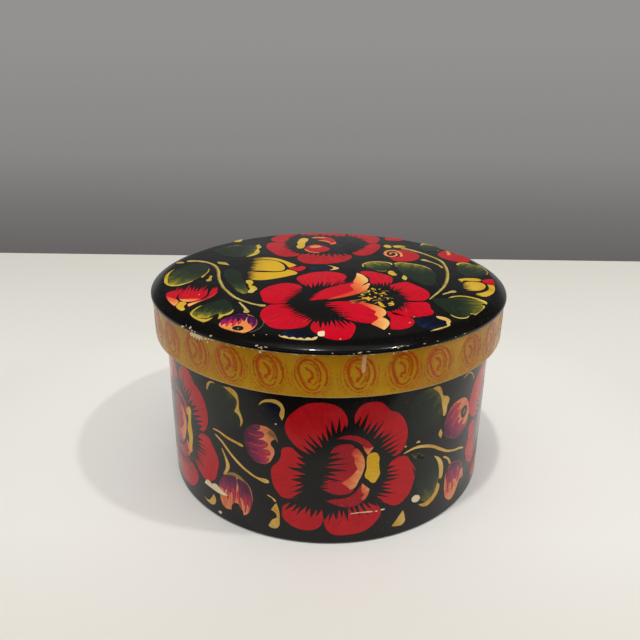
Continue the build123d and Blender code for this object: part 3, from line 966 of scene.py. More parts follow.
GREEN_TOP = on_lid(glazed, "green_glaze_lid", (182, 152, 40), (104, 102, 34), (47, 58, 30), (26, 38, 22),
                   7.0, 1.1)
BLUE_TOP = on_lid(glazed, "blue_glaze_lid", (14, 38, 62), (6, 18, 40), (4, 9, 26), (4, 8, 18), 7.0, 1.2)
BUD_TOP = on_lid(brushed, "bud_ground_lid", (214, 96, 50), (228, 140, 72), (238, 178, 100), 0.9, 0.8)
VIOLET_TOP = on_lid(glazed, "violet_glaze_lid", (204, 36, 74), (150, 20, 88), (92, 12, 72), (48, 6, 50),
                    10.0, 1.3)


def spread(painted, by):
    """The same shape with its outline moved out all round."""
    points, fade = painted
    area = sum(a[0] * b[1] - b[0] * a[1] for a, b in zip(points, points[1:] + points[:1]))
    side = by if area > 0 else -by
    grown = []
    for i, point in enumerate(points):
        before, after = points[i - 1], points[(i + 1) % len(points)]
        dx, dy = after[0] - before[0], after[1] - before[1]
        long = math.hypot(dx, dy)
        grown.append((point[0] + dy / long * side, point[1] - dx / long * side) + tuple(point[2:]))
    return grown, fade


FRONT = (-4, -36)
lid_film("front_poppy_petals", [
    combed([(6.6, -13.2), (6.8, -9.1), (8, -5.2), (7.9, -1.3), (6, 1.5), (2.7, 3.4), (-0.7, 4.1),
            (-4.6, 3.4), (-7.9, 2), (-11.2, -1), (-13.3, -3.4), (-14.3, -6.9), (-13.4, -10.2),
            (-11.8, -13.6), (-9.2, -17.2)], 9, 7.0, FRONT, 21, -0.8),
    combed([(-11.2, -20.4), (-12.5, -16), (-15.1, -14.2), (-18.6, -13.3), (-23.4, -15.8), (-27, -20),
            (-28.9, -26.3), (-28.4, -28.7), (-27.3, -33.1), (-26.2, -37), (-23.4, -38.9), (-19, -38.8),
            (-16.4, -37.4)], 13, 4.6, (-2, -29), 22, 0.6),
    combed([(-17, -39), (-19.6, -39.8), (-22.9, -40.6), (-24.9, -43.4), (-26.2, -48.1), (-26.1, -52.6),
            (-25.1, -56.4), (-23.4, -60.3), (-21.4, -63.4), (-19, -65.1), (-15.7, -65.6), (-12.3, -64.9),
            (-9.5, -63.7), (-7.8, -61.8), (-6.8, -58.7), (-5.9, -55.4)], 12, 4.6, (2, -38), 23, 1.4),
    combed([(-5, -57), (-5.9, -59.8), (-6.3, -62.6), (-5.9, -65.9), (-4, -69.2), (-1.8, -71.6),
            (0.4, -73.7), (2.7, -75), (4.9, -75.2), (7.7, -73.4), (9.3, -69.2), (10.2, -64.8),
            (10.2, -60.3), (8.2, -56.8)], 8, 7.4, (-1, -38), 24, 1.6)],
    CRIMSON_TOP, 1, FRONT)
lid_film("front_poppy_inner", [
    combed([(-1.4, -37.6), (1.6, -36.4), (4.9, -35.5), (9.3, -35.5), (12.2, -36.6), (15.6, -40),
            (17.6, -43.4), (19.2, -46.6), (18.3, -49.6), (19.6, -52.4), (19, -55), (16.6, -58.8, 0),
            (13.6, -58.3), (8.4, -55.6), (6.2, -53.4)], 8, 5.4, (-26, -47), 25, 0.6),
    combed([(-7.4, -35.2), (-3.6, -33.8), (-0.6, -32.8), (2.1, -30.8), (6, -27.4), (9.3, -24.1),
            (11.2, -21.3), (10.6, -18), (10.4, -14.6), (12.6, -10.6), (14, -7.6, 0), (12.2, -9.6),
            (10.2, -11.4), (8.8, -12.2), (4.9, -15), (0.4, -18.8), (-2.9, -22.2)],
           11, 4.8, (-34, -64), 26, -0.8)],
    CRIMSON_TOP, 1, FRONT)
lid_film("front_poppy_edges", [
    shape([(8.8, -35.3, 0), (12.7, -35.7), (16, -37.3), (19.3, -39.6), (21.4, -42), (22.7, -45),
           (22.9, -47.8), (22.2, -50.3), (20.9, -52.2, 0), (22.5, -54.2), (23.3, -57.4), (22.6, -61.2),
           (20.8, -64.9, 0), (18.9, -62.4), (16.3, -59.4, 0), (17.7, -56.8), (19, -54.8), (19.4, -52.4),
           (18.2, -49.6), (19, -46.7), (17.4, -43.8), (15.4, -40.4), (13, -38)], (24, -51, 13, -50)),
    shape([(13.2, 2.7, 0), (15.4, 0.3), (16.9, -3), (17.8, -6.3), (17.6, -9.9), (16.4, -12.2),
           (14.2, -16.1, 0), (16.8, -13.6), (17.9, -12.2), (17.9, -15.8), (16.9, -19.7), (14.9, -23.6),
           (11.6, -26.9), (7.7, -29.7), (3.8, -31.9), (-0.4, -33.8, 0), (1.6, -31.4), (5.8, -27.8),
           (9.1, -24.3), (10.9, -21.3), (10.3, -18), (9.7, -14.8), (11.6, -11.8), (10.9, -10.6, 0),
           (11.8, -6.9), (12.7, -2.4)], (19.4, -12, 8.4, -16))],
    PEACH_RIM, 2, FRONT)


# The flower at the right of the lid, half behind the first. Its heart is scattered with short
# yellow touches for the stamens.
RIGHT = (24, -28)
lid_film("right_poppy_petals", [
    combed([(27.2, -13.2), (28.2, -10.6), (29.1, -6.1), (28.8, -2.6), (26.2, 0.6), (22.8, 3.4),
            (20.2, 5.2), (17.8, 5.6), (15.4, 4.9), (14.9, 2.9), (16.6, -0.2), (18.2, -3), (18.7, -6.9),
            (18.7, -11.3), (19, -14.8)], 6, 6.0, RIGHT, 31, 0.6),
    combed([(31.8, -32.6), (34.2, -33.3), (37.6, -33.4), (40.3, -32.3), (42, -29.4), (43, -25.6),
            (42.8, -22.2), (41.4, -18.3), (39.2, -15), (37.2, -11.8), (35, -9.5), (32.8, -10.1),
            (30.2, -11.8), (27.6, -13.8), (26.4, -16.4)], 10, 4.6, RIGHT, 32, 1.6),
    combed([(25.7, -45), (25.4, -48.4), (28.1, -50.1), (32, -51.5), (35.3, -51.5), (38.7, -50.1),
            (41, -48.3), (41.8, -45.6), (41.2, -42.8), (41.3, -39.4), (40.9, -36.2), (39.2, -34.9),
            (35.9, -35.2), (32.2, -35.2)], 8, 4.2, RIGHT, 33, 1.2),
    shape([(23.4, -45.8, 0), (26.1, -47.2), (29.8, -50.5), (32.2, -52.3), (33, -55.1), (32.5, -58.4),
           (30.6, -61.8), (27.8, -63.8), (25, -64.4), (23.1, -63.6, 0), (23.6, -58.4), (24, -54),
           (23.4, -50.1)])],
    CRIMSON_TOP, 1, RIGHT)
lid_film("right_poppy_stamens", [
    shape([(14.2, -30.3, 0), (16.2, -30.3), (16.6, -29, 0), (17.6, -30.6), (18.8, -31.1, 0),
           (17.9, -32.2), (16.6, -34.8, 0), (15.9, -32.8), (14, -31.6, 0)]),
    shape([(20.8, -34.8, 0), (21.7, -36.2), (22.9, -40.6, 0), (23.6, -41, 0), (22.4, -41.4),
           (20.6, -38.2)]),
    shape([(24.8, -36.6, 0), (26.2, -36.2), (27, -37.6), (26.2, -39.6, 0), (25.4, -38),
           (24.2, -37.8, 0)]),
    *[dab(*touch) for touch in (
        (26.3, -35.4, 0.9, 1.2), (14.4, -26.9, 1.4, 1.6), (17.4, -22.8, 1.0, 3.2, -0.3),
        (19.2, -19.4, 1.3, 2.2), (20.3, -24.8, 1.2, 2.0, 0.4), (23.6, -24.6, 1.5, 1.9, -0.4),
        (22.5, -28, 1.0, 1.7), (19.6, -29.8, 1.1, 1.6), (21.4, -31.4, 1.2, 0.8, 0.5),
        (17.6, -26.4, 0.8, 1.4), (24.8, -31.6, 0.8, 1.5), (22.2, -25.8, 1.9, 0.8, 0.3),
        (24.4, -26.6, 1.1, 0.8), (20.2, -20.4, 0.8, 1.6), (25.2, -39.2, 1.6, 1.0, -0.4),
        (22.2, -19.8, 1.0, 0.9), (16, -24.6, 1.3, 0.7, 0.5), (19.4, -22.6, 0.6, 1.2))]],
    YELLOW_TOP, 2, RIGHT)
lid_film("right_poppy_threads", [
    pulled([(9.4, -37.4), (12.6, -36.2), (15.6, -35)], (0.3, 0.8, 0.3)),
    pulled([(8.6, -35), (12.4, -33.6), (15.2, -32.2)], (0.3, 0.9, 0.3)),
    pulled([(12.6, -29.8), (14.4, -28.6), (15.4, -26.8)], (0.2, 0.7, 0.3)),
    pulled([(14, -26.2), (15.6, -24), (17, -20.6)], (0.2, 0.6, 0.2)),
    pulled([(18.2, -34.4), (20.4, -33.2), (22.8, -33.4)], (0.2, 0.6, 0.2)),
    pulled([(18.8, -37.6), (20, -36.4), (20.6, -35.2)], (0.2, 0.6, 0.2)),
    pulled([(23, -30.2), (25.2, -30.4), (27.2, -31.6)], (0.2, 0.5, 0.2)),
    pulled([(22.6, -22.8), (24.6, -22), (26.2, -22.2)], (0.2, 0.5, 0.2))],
    OLIVE, 2, (21, -29))


# The flower at the back of the lid, with a split inner cup and one long yellow pistil.
REAR = (-1, 51)
lid_film("rear_poppy_petals", [
    combed([(-22.6, 54.6), (-26.6, 55), (-30, 56), (-31.6, 59.6), (-31.3, 62.8), (-29.3, 67.3),
            (-25.7, 71.6), (-21, 73.2), (-17.8, 72), (-18.2, 70.4)], 6, 2.6, REAR, 41, 1.2),
    combed([(-15.4, 33.8), (-14.6, 31.6), (-15.8, 29.3), (-18.6, 27.8), (-22.9, 27.8), (-26.4, 30.8),
            (-29.3, 35.9), (-31.9, 41.6), (-33, 47.3), (-32.2, 51.8), (-28.8, 54.2), (-24.2, 53.6),
            (-23, 51.6)], 7, 2.8, REAR, 42, 1.6),
    combed([(10.6, 33.4), (11.6, 28.7), (10.2, 24.2), (5.9, 19.2), (0.4, 16.5), (-5.7, 15.7),
            (-10.7, 16.4), (-13.9, 19.9), (-15.5, 24.4), (-15.2, 28.8), (-12.8, 33.2)],
           9, 5.2, REAR, 43, 1.4),
    combed([(20.6, 53.4), (26.6, 52.6), (27.2, 48), (25.6, 42.2), (23, 36.5), (20, 32.2), (16.4, 31),
            (12.8, 33.2), (12.2, 37.4)], 7, 2.8, REAR, 44, 1.6),
    combed([(11.2, 70), (10.6, 73), (15.7, 73.9), (21.4, 72), (25.6, 69), (27.9, 64), (26.6, 58),
            (24.6, 54.2), (20.8, 55.4)], 7, 2.8, REAR, 45, 1.4),
    combed([(8.4, 68), (9.4, 73), (4, 75.4), (-3, 76), (-10, 75.2), (-15.6, 73.8), (-14.8, 69.6)],
           6, 2.4, REAR, 46, 1.0)],
    CRIMSON_REAR, 1, REAR)
lid_film("rear_poppy_pistil", [
    shape([(-17.1, 53.6, 0), (-16.5, 58), (-15.6, 62), (-14, 63.6), (-11.6, 62.2), (-11.4, 59),
           (-12.4, 55.6, 0), (-12.8, 52), (-12.7, 47.4), (-13.8, 43.2), (-15.6, 42.6), (-17, 46),
           (-16.4, 50.4, 0)])],
    YELLOW_TOP, 2, REAR)
lid_film("rear_poppy_cup", [
    shape([(-12.5, 43.4, 0), (-10, 48.8), (-6.2, 50.4), (-2.4, 47.6), (0.8, 43.3, 0), (-0.5, 39.4),
           (-3.7, 36.4), (-7.4, 35.8), (-10.4, 38)], (-10, 50, -4, 42)),
    shape([(-9.8, 64.4, 0), (-5.8, 67.1), (-0.6, 66.2), (2.9, 60.5), (4.1, 52.2, 0), (1.4, 50.6, 0),
           (-0.4, 54.6), (-3.4, 57.6), (-6.6, 59.4, 0), (-3.2, 60.6), (-6, 62.4, 0)])],
    CRIMSON_REAR, 1, REAR)
lid_film("rear_poppy_cup_edge", [
    shape([(-10.4, 46, 0), (-8.6, 48.6), (-6.4, 49.4), (-3.6, 46.8, 0), (-6.1, 44.6), (-8.8, 44.2)]),
    pulled([(-9.4, 64.2), (-6, 65.4), (-1.6, 64.6)], (0.5, 1.9, 0.4)),
    pulled([(-5.6, 59.4), (-2, 58), (1, 55)], (0.4, 1.6, 0.4)),
    pulled([(0.6, 52.4), (2.4, 53.4), (3.6, 55.6)], (0.6, 1.6, 0.4)),
    pulled([(-12.6, 41.6), (-9, 36.2), (-4.6, 35.2)], (0.3, 0.9, 0.3))],
    PEACH_TOP, 2, REAR)


# Two yellow tulips. Each is three pale petals with the black lacquer showing between them, and a
# red tip where the petals open.
lid_film("tulip_left", [
    (combed([(-37, 19.2), (-33.6, 20.6), (-29.7, 21), (-26, 19.9), (-23.4, 16.9), (-21.6, 13.2),
             (-20.8, 9.4), (-21, 5.6), (-23.2, 3.7), (-29.7, 3.9), (-36.6, 4.3)],
            7, 3.6, (-62, 12), 54, 0.4)[0],
     (-42, 12, -28, 12)),
    shape([(-37.4, 22, 0), (-36.6, 24), (-33.6, 25.4), (-29.1, 25.4), (-25.2, 23.8), (-21.6, 20.6),
           (-18, 16.6), (-15.4, 13.4, 0), (-16.4, 11.6), (-18.8, 9.6, 0), (-19.9, 12.6), (-21.6, 16.4),
           (-24.4, 19.6), (-28, 21.7), (-32, 22), (-35.6, 21.2)], (-40, 23.6, -27, 20)),
    (combed([(-37.6, 2.9), (-33, 1.9), (-28.4, 1.8), (-23.2, 2.3), (-20.4, 4), (-19.2, 6.4, 0), (-17, 5),
             (-15.1, 3), (-14.4, 0.4), (-17.3, -2.6), (-21.8, -5.9), (-27.3, -8.9), (-31.8, -9.8),
             (-35.6, -8.6)], 6, 3.2, (-62, -6), 55, 0.6)[0], (-42.6, -3, -28, -2))],
    TULIP, 1, (-62, 8))
lid_film("tulips", [
    combed([(59.4, -19), (62.6, -20.1), (65.9, -19.3), (68.1, -16.8), (69.3, -13.3), (69, -10.6),
            (66.4, -8.2), (63, -8), (60.4, -9.6)], 5, 3.0, (48, -14), 51),
    combed([(59.2, -8.4), (61.2, -6.4), (64.4, -6.8), (68.8, -6.2), (68.3, -3.8), (64.2, -2.9),
            (60.2, -3.9), (58.4, -5.4)], 2, 1.6, (50, -8), 52),
    combed([(63.4, -26.4), (66, -27.4), (68.8, -25.2), (71.5, -21.1), (72.9, -16.7), (73.3, -12.8, 0),
            (70.4, -11.5, 0), (70.2, -16.1), (68.8, -19.5), (66, -22.3), (62.8, -23.6)],
           3, 1.8, (56, -24), 53)],
    YELLOW_TOP, 1, (-30, 8))
lid_film("tulip_tips", [
    shape([(-18.2, 9.7), (-15.6, 9.7), (-12.3, 11.9), (-10.8, 9.2), (-11.8, 6.4), (-14, 4), (-16.4, 5.8),
           (-18.2, 7.2)]),
    shape([(69, -7.2), (70.9, -4.9), (74.3, -4.3), (74.6, -8.3), (73.6, -11.9), (70.8, -10.7)])],
    CRIMSON_TOP, 2, (-14, 8))


# Stems on the lid, each one pull of a round brush in pale yellow, with two or three short twigs.
lid_film("stems", [
    pulled([(-68.8, 17.2), (-64.1, 17.8), (-60.2, 16.5), (-57.2, 14.3), (-54.5, 11), (-52.4, 6.3),
            (-50.9, 1.2), (-49.9, -4.4), (-48.8, -9.4), (-47.1, -15), (-45.2, -20.6), (-42.7, -25.6),
            (-39.9, -30.6), (-36.6, -35), (-32.3, -38.6), (-28.8, -40.7), (-25.2, -41.9)],
           (1.6, 2.0, 1.9, 1.7, 1.6, 1.5, 1.4, 1.3, 1.3, 1.2, 1.2, 1.3, 1.3, 1.4, 1.3, 1.3, 1.4)),
    pulled([(-36.2, -38), (-33.9, -42.6), (-32.4, -46.1), (-31.8, -49.6)], (0.3, 1.0, 1.3, 1.6)),
    pulled([(-53.4, -4.6), (-53.2, -8), (-53.4, -12.4)], (0.5, 1.1, 1.3)),
    shape([(-54.1, 17.2, 0), (-50.2, 16.2), (-47.5, 12, 0), (-50.4, 12.8), (-53.4, 14.6)]),
    pulled([(38.4, 45.6), (42.2, 43), (45.8, 39.1), (49.6, 34.1), (52.4, 29.7), (54.5, 25.8),
            (55.8, 21.9), (56.2, 16.9), (56.2, 11.9), (55.8, 5.8), (54.9, 0.2), (53.8, -5.2), (52.5, -10),
            (50.8, -15), (48.5, -20), (45.7, -25.2), (43.4, -29.2), (42.2, -31.6)],
           (1.9, 1.9, 1.8, 1.7, 1.6, 1.5, 1.3, 1.2, 1.2, 1.2, 1.3, 1.3, 1.3, 1.2, 1.1, 0.9, 0.7, 0.3)),
    pulled([(46.4, 25.4), (48.9, 23), (51.3, 20), (53.4, 16.3), (54.4, 12)], (2.2, 1.6, 1.1, 0.9, 0.5)),
    pulled([(48.6, -25.4), (51.4, -23), (54.6, -21)], (0.4, 1.2, 1.7)),
    pulled([(-74, 14), (-71.4, 15), (-70.2, 14.4)], (1.0, 2.6, 1.6))],
    STEM, 2)
STEM_SHADE = on_lid(brushed, "stem_shade", (84, 76, 26), (112, 102, 38), (140, 128, 60), 0.6, 0.6)
lid_film("stem_shades", [
    pulled([(-60.4, 16), (-57.6, 13.8), (-55, 10.6), (-52.9, 6), (-51.5, 1), (-50.5, -4.6), (-49.4, -9.6),
            (-47.7, -15.2), (-45.8, -20.8), (-43.3, -25.8), (-40.5, -30.9), (-37, -35.4), (-32.6, -39)],
           (0.2, 0.5, 0.6, 0.55, 0.5, 0.45, 0.45, 0.45, 0.45, 0.45, 0.45, 0.4, 0.2)),
    pulled([(45.4, 38.6), (49, 33.8), (51.8, 29.5), (53.9, 25.6), (55.1, 21.8), (55.6, 16.9),
            (55.6, 11.9), (55.2, 5.9), (54.3, 0.4), (53.2, -5), (51.9, -9.8), (50.2, -14.8)],
           (0.2, 0.5, 0.55, 0.6, 0.6, 0.55, 0.5, 0.5, 0.5, 0.45, 0.4, 0.2))],
    STEM_SHADE, 3)


# Leaves on the lid: green glaze over the yellow ground, deep at the base and thinned out to the
# ground at the tip, with scalloped crescents of ground left along their edges.
LEAF_INSET = 0.3
lid_film("leaves", [spread(leaf, -LEAF_INSET) for leaf in (
    shape([(-70, 6), (-66, 12.6), (-61, 14.2), (-57.4, 11), (-55.8, 4), (-56.4, -3), (-58.2, -8.6),
           (-60.6, -12.6), (-63, -16), (-66.4, -18.4), (-69.4, -17.8), (-71.6, -13), (-72.6, -6),
           (-72.2, 1)],
          (-69, -24, -63, 2)),
    shape([(-47.5, 6), (-43, 4.4), (-40.6, 1.4), (-38.8, -6), (-37, -12), (-35.4, -19), (-33.8, -25),
           (-34.6, -28), (-37.6, -26.8), (-41, -21.4), (-44.4, -14), (-47.4, -6), (-48.4, 0)],
          (-33, -33, -42, -12)),
    shape([(-42.7, -34.2, 0), (-46.6, -37.8), (-50, -41.4), (-52, -46), (-52.8, -50.6), (-52.2, -54.6),
           (-49.6, -56.6), (-46.4, -56.2), (-44, -53.4), (-42.6, -51, 0), (-41, -52.2), (-38.4, -50.2),
           (-37.6, -46.8), (-38, -42.8), (-39.6, -38.6), (-41.2, -35.6)], (-45.6, -57.4, -45, -44)),
    shape([(-56, 42), (-52, 45.4), (-46, 47.4), (-39.6, 48), (-37.2, 43), (-37.6, 36), (-38.4, 31),
           (-42, 26.6), (-47, 24.6), (-53, 27.4), (-58, 33), (-59.6, 38)], (-30, 34, -46, 36)),
    shape([(16.5, 14.8), (17.9, 18), (21, 20.4), (26, 20.6), (29.8, 18.6), (30.4, 15), (29, 9.4),
           (26.4, 5.8), (23, 6.3), (19.2, 8.8), (17.1, 12)], (20, 24, 27, 7)),
    shape([(32, 17.4), (34.6, 19.8), (39.4, 18.4), (44.4, 15.6), (47.3, 11.9), (49.5, 6.9), (50, 1.3),
           (49, -4.2), (47.8, -11), (44.6, -15), (40.4, -11.4), (37, -5.6), (34.6, 0), (32.8, 7.6),
           (31.8, 13)], (43, 23, 39, 4)),
    shape([(60.6, 11), (62.6, 17), (66, 20.6), (69.2, 18.8), (72.8, 17), (74.8, 12), (74.9, 6), (73, 2.2),
           (69, -1), (64, -1), (61, 3.4)], (76, 20, 66, 7)),
    shape([(47.8, 44), (48.4, 50), (51, 54.4), (55, 54.6), (58, 50.6), (59, 46), (57, 41.8), (53, 40),
           (49.6, 40.8)], (52, 58, 53, 47)),
    shape([(42.8, -30.4, 0), (47, -30.2), (50.2, -29.6), (53.2, -28), (57, -27.6), (60.4, -29.4),
           (63.2, -32.6), (64.2, -35.6), (62.4, -37, 0), (63, -39.4), (61.6, -43.6), (58.8, -48.4, 0),
           (56.2, -47.2, 0), (54.6, -50.6), (52, -52), (49.6, -51.2), (47.4, -47.6), (45.6, -42.6),
           (43.6, -37)], (66.6, -39.6, 52, -38.6)))], GREEN_TOP, 3)
lid_film("leaf_edges", [
    shape([(-72.2, 4.6, 0), (-73.4, 0), (-74.1, -5.6), (-73.3, -11.1), (-71.7, -16.1), (-68.8, -19.4),
           (-65.8, -19.4), (-62.5, -16.2), (-60.3, -12.2), (-60.1, -10.2, 0), (-61.6, -12.8),
           (-64, -16.2), (-67, -17.8), (-69.4, -16.8), (-71.2, -12.6), (-72.4, -7), (-72.8, -1)]),
    shape([(-57.2, 9.2, 0), (-55.6, 3.6), (-56, -2), (-56.9, -7.8, 0), (-58.3, -5), (-57.6, 0.4),
           (-57, 5)]),
    shape([(-36.7, -10.4, 0), (-35.2, -9.8), (-33.5, -11.9), (-33.1, -14.4), (-33.5, -16.7),
           (-31.6, -18.9), (-30.5, -21.7), (-31.3, -24.5), (-32.4, -26.8), (-33.8, -26.6, 0),
           (-34.3, -24.6), (-33.6, -22.2), (-34.5, -19.2, 0), (-35, -16.1), (-36.4, -13.2)]),
    shape([(-50.4, -42, 0), (-52.2, -45), (-53.5, -50), (-53.2, -54.2), (-52.2, -57.6), (-50.6, -60.2),
           (-48.6, -62, 0), (-46.6, -60.2), (-44.8, -57.8), (-43.9, -54.6, 0), (-45.4, -56.4),
           (-48.4, -57), (-51, -55.4), (-52.1, -52), (-52, -47.4)]),
    shape([(-43, -50.8, 0), (-42, -52.2), (-41.9, -54.4), (-41.8, -56.8, 0), (-40.8, -55.6),
           (-40.2, -53.6), (-38.4, -52), (-37.2, -49.4), (-37.3, -46, 0), (-38.2, -49), (-39.6, -51),
           (-41.2, -52)]),
    shape([(-37.4, 49.4, 0), (-36, 46.6), (-35.4, 43.6), (-36.4, 40.6), (-35.4, 36), (-35.8, 31.9),
           (-38, 28.4), (-41.4, 25.8, 0), (-39.4, 30), (-38.5, 34), (-39, 38), (-38.2, 42), (-39, 46)]),
    shape([(-54.4, 41.6, 0), (-53.4, 44), (-50.6, 46), (-46.9, 47.2), (-43.4, 46.6, 0), (-46.6, 45.2),
           (-50, 43.8), (-52.4, 42)]),
    shape([(-50.6, 53.4, 0), (-52, 57), (-50.4, 60.4), (-48.2, 61, 0), (-47.4, 58), (-47.6, 54.6)]),
    shape([(16.6, 11.6, 0), (16.1, 15), (17.7, 18.5), (21, 20.9), (26, 21.1), (30.4, 19), (30.9, 15.6, 0),
           (28.8, 17.4), (25, 18.4), (20.8, 17.8), (18.4, 15.4)]),
    shape([(18, 10.4, 0), (20.6, 8.4), (23.4, 6.2), (26.4, 5.6), (27.6, 7, 0), (24.6, 7.6), (21.6, 10.2)]),
    shape([(31.7, 18.2, 0), (34.6, 20.3), (39.4, 18.9), (44.6, 16), (47.6, 12), (48.8, 8.6, 0), (46, 11),
           (43.4, 13.6), (40, 15.2), (35.8, 15.4), (33.4, 14.8)]),
    shape([(27.7, 3.6), (29.2, 6.5), (31.1, 2.6), (31.5, 0.2), (30, -0.7), (28.2, 1.4)]),
    shape([(34.6, 0.4, 0), (35.7, -2.2), (35.4, -5.8), (34.6, -7.2, 0), (33.5, -4.6)]),
    shape([(61.8, 17.2, 0), (63, 20.2), (66.6, 21.2), (69.5, 19, 0), (67.6, 17.4), (64.4, 16.4)]),
    shape([(71.2, 17.6, 0), (73.6, 16.4), (75.2, 11.4), (75.4, 6.6), (73, 2, 0), (72.8, 5.6), (73.4, 9.6),
           (72.2, 13.6)]),
    shape([(49, 51.2, 0), (50, 55), (53, 56.4), (56.4, 55.6), (58, 52.4, 0), (55.6, 52.6), (52, 52)]),
    shape([(57.2, 50.4, 0), (58.8, 47.6), (58, 43.6), (56.4, 41, 0), (56.8, 44.6)]),
    shape([(50.2, -29.4, 0), (53.1, -27.1), (56.4, -26.6), (59.8, -27.7), (63.1, -30.5), (65.2, -33.9),
           (64.9, -36.9, 0), (63, -34.6), (60.6, -31.2), (57.6, -29), (54, -28.8)]),
    shape([(62.2, -37, 0), (63.6, -38.9), (63.2, -41.1), (61, -45), (58.7, -49.6, 0), (55.9, -47.8),
           (54.4, -51.7), (52, -52.7), (49.4, -51.6), (47.6, -48.4, 0), (50.4, -50.4), (53.2, -49.4),
           (55.2, -46.4), (57.4, -46.4), (60.6, -43), (62.2, -40)]),
    shape([(28.8, 48.6, 0), (30.6, 51.8), (32.8, 50), (32.4, 46.4), (30.4, 46, 0)]),
    shape([(34, 50, 0), (38, 51), (40.6, 48.4), (38, 46.4), (34.8, 47)])],
    LEAF_EDGE, 2)
lid_film("blue_leaves", [
    shape([(-16.6, -69.4), (-15, -66.8), (-11.8, -65.9), (-8.4, -66.4), (-6.2, -68.8), (-5, -72),
           (-6.4, -74), (-9.8, -73.8), (-13, -72.8), (-15.4, -71.8)]),
    shape([(33.8, -55.6), (35, -52.2), (38.9, -50.4), (42.6, -52.6), (45.4, -56.6), (45, -61),
           (41.4, -63.8), (37, -63.2), (34, -59.6)]),
    shape([(-9.2, 8.4), (-7, 11.6), (-2.8, 12.8), (1.4, 11.2), (2.6, 8.6), (0, 6.6), (-5, 6)])],
    BLUE_TOP, 1)
lid_film("blue_leaf_edges", [
    shape([(-17.7, -70.6, 0), (-17, -72.6), (-14.6, -74.8), (-10.6, -76.1), (-6.8, -76.2), (-4.4, -75),
           (-3.4, -71.9, 0), (-4.8, -72.5), (-5.6, -73.9, 0), (-6.9, -72.9), (-8.2, -74.9, 0),
           (-9.6, -73.1), (-10.9, -74.5, 0), (-12.3, -72.6), (-13.7, -73.6, 0), (-15.2, -71.7),
           (-16.5, -72.1, 0)]),
    shape([(42, -50.3, 0), (44.4, -51), (46.4, -53.2), (46.8, -55.8), (46, -57.9, 0), (46.5, -60.2),
           (44.6, -63), (41.7, -65.3), (38.2, -66.2, 0), (40, -64), (42, -62.4), (44.2, -61.2),
           (45, -59.6), (44.8, -57.6), (45.1, -55.6), (43.4, -53.8), (42.2, -52.2)]),
    shape([(-0.9, 14.3, 0), (2, 12.4), (4.2, 10.6), (5, 9.2), (3.8, 7.5), (0.4, 6.2, 0), (2, 8.4),
           (2.2, 10.6)])],
    CREAM, 2)


# Buds and berries on the lid: violet strokes over peach, a red bud opening over its yellow base,
# and red berries with a curl of yellow.
NIGHT = brushed("deep_violet", (30, 8, 40), (46, 12, 56), (84, 40, 90), 0.7, 0.5)
lid_film("violet_bud", [
    shape([(-37.6, -54.2), (-35.4, -52), (-33, -51.2), (-30, -52), (-27.7, -55.2), (-26.5, -59.8),
           (-27, -64.4), (-29.4, -69), (-32, -71.4), (-35.4, -70.4), (-39, -68), (-40.4, -64),
           (-40.2, -59.4)])],
    BUD_TOP, 1, (-33, -66))
lid_film("violet_bud_petals", [
    shape([(-40.2, -60.2), (-40, -57), (-38, -54.3), (-35.4, -52.1), (-33, -51.3), (-31, -51.8),
           (-31, -55), (-31.6, -59.6, 0), (-32.6, -57.4), (-33.4, -61.4, 0), (-34.4, -59.2),
           (-35.4, -63.4, 0), (-36.4, -60.4), (-37.6, -64.6, 0), (-38.2, -61.4), (-39.6, -64.4, 0),
           (-39.9, -62)], (-35.6, -65, -35, -52)),
    shape([(-30.5, -52, 0), (-28.4, -54), (-26.7, -58.8), (-26.7, -62.4), (-27.7, -65, 0), (-28.7, -62),
           (-29.9, -60.4, 0), (-30.7, -57)], (-28.4, -66, -29, -52))],
    VIOLET_TOP, 2, (-33, -66))
lid_film("violet_bud_streaks", [
    pulled([(-34.6, -56), (-34.9, -60), (-35.3, -63.6)], (0.4, 1.4, 0.4)),
    pulled([(-36.6, -57), (-37.2, -60.6), (-37.6, -64)], (0.3, 0.9, 0.3)),
    pulled([(-32.8, -56), (-32.9, -59), (-33.3, -61.8)], (0.3, 0.8, 0.3))],
    MAGENTA, 3, (-33, -66))
lid_film("violet_bud_shadows", [
    pulled([(-36.4, -53.4), (-34.4, -55), (-33.8, -58.4)], (0.3, 1.3, 0.3)),
    pulled([(-32.8, -52), (-31.8, -54.4), (-31.7, -57.6)], (0.3, 1.4, 0.3)),
    pulled([(-30.4, -53), (-29.9, -57), (-29.2, -61)], (0.4, 0.9, 0.2)),
    pulled([(-28, -55.4), (-27.4, -59.4), (-27.8, -63.4)], (0.3, 0.8, 0.2))],
    NIGHT, 3, (-33, -66))
lid_film("violet_bud_eye", [
    shape([(-35.2, -65.6), (-34.2, -63.4), (-32, -63.4), (-30.9, -65.6), (-32.2, -68), (-34, -68.2)])],
    EYE, 4, (-33, -66))
lid_film("violet_bud_glint", [
    dab(-32.9, -65.8, 0.9, 1.9)],
    GREY, 5, (-33, -66))
lid_film("violet_bud_arc", [
    pulled([(-28.4, -69.4), (-25.8, -66.4), (-24.2, -62), (-24.2, -57.4)], (0.1, 0.35, 0.25, 0.1))],
    GREY, 2, (-33, -66))
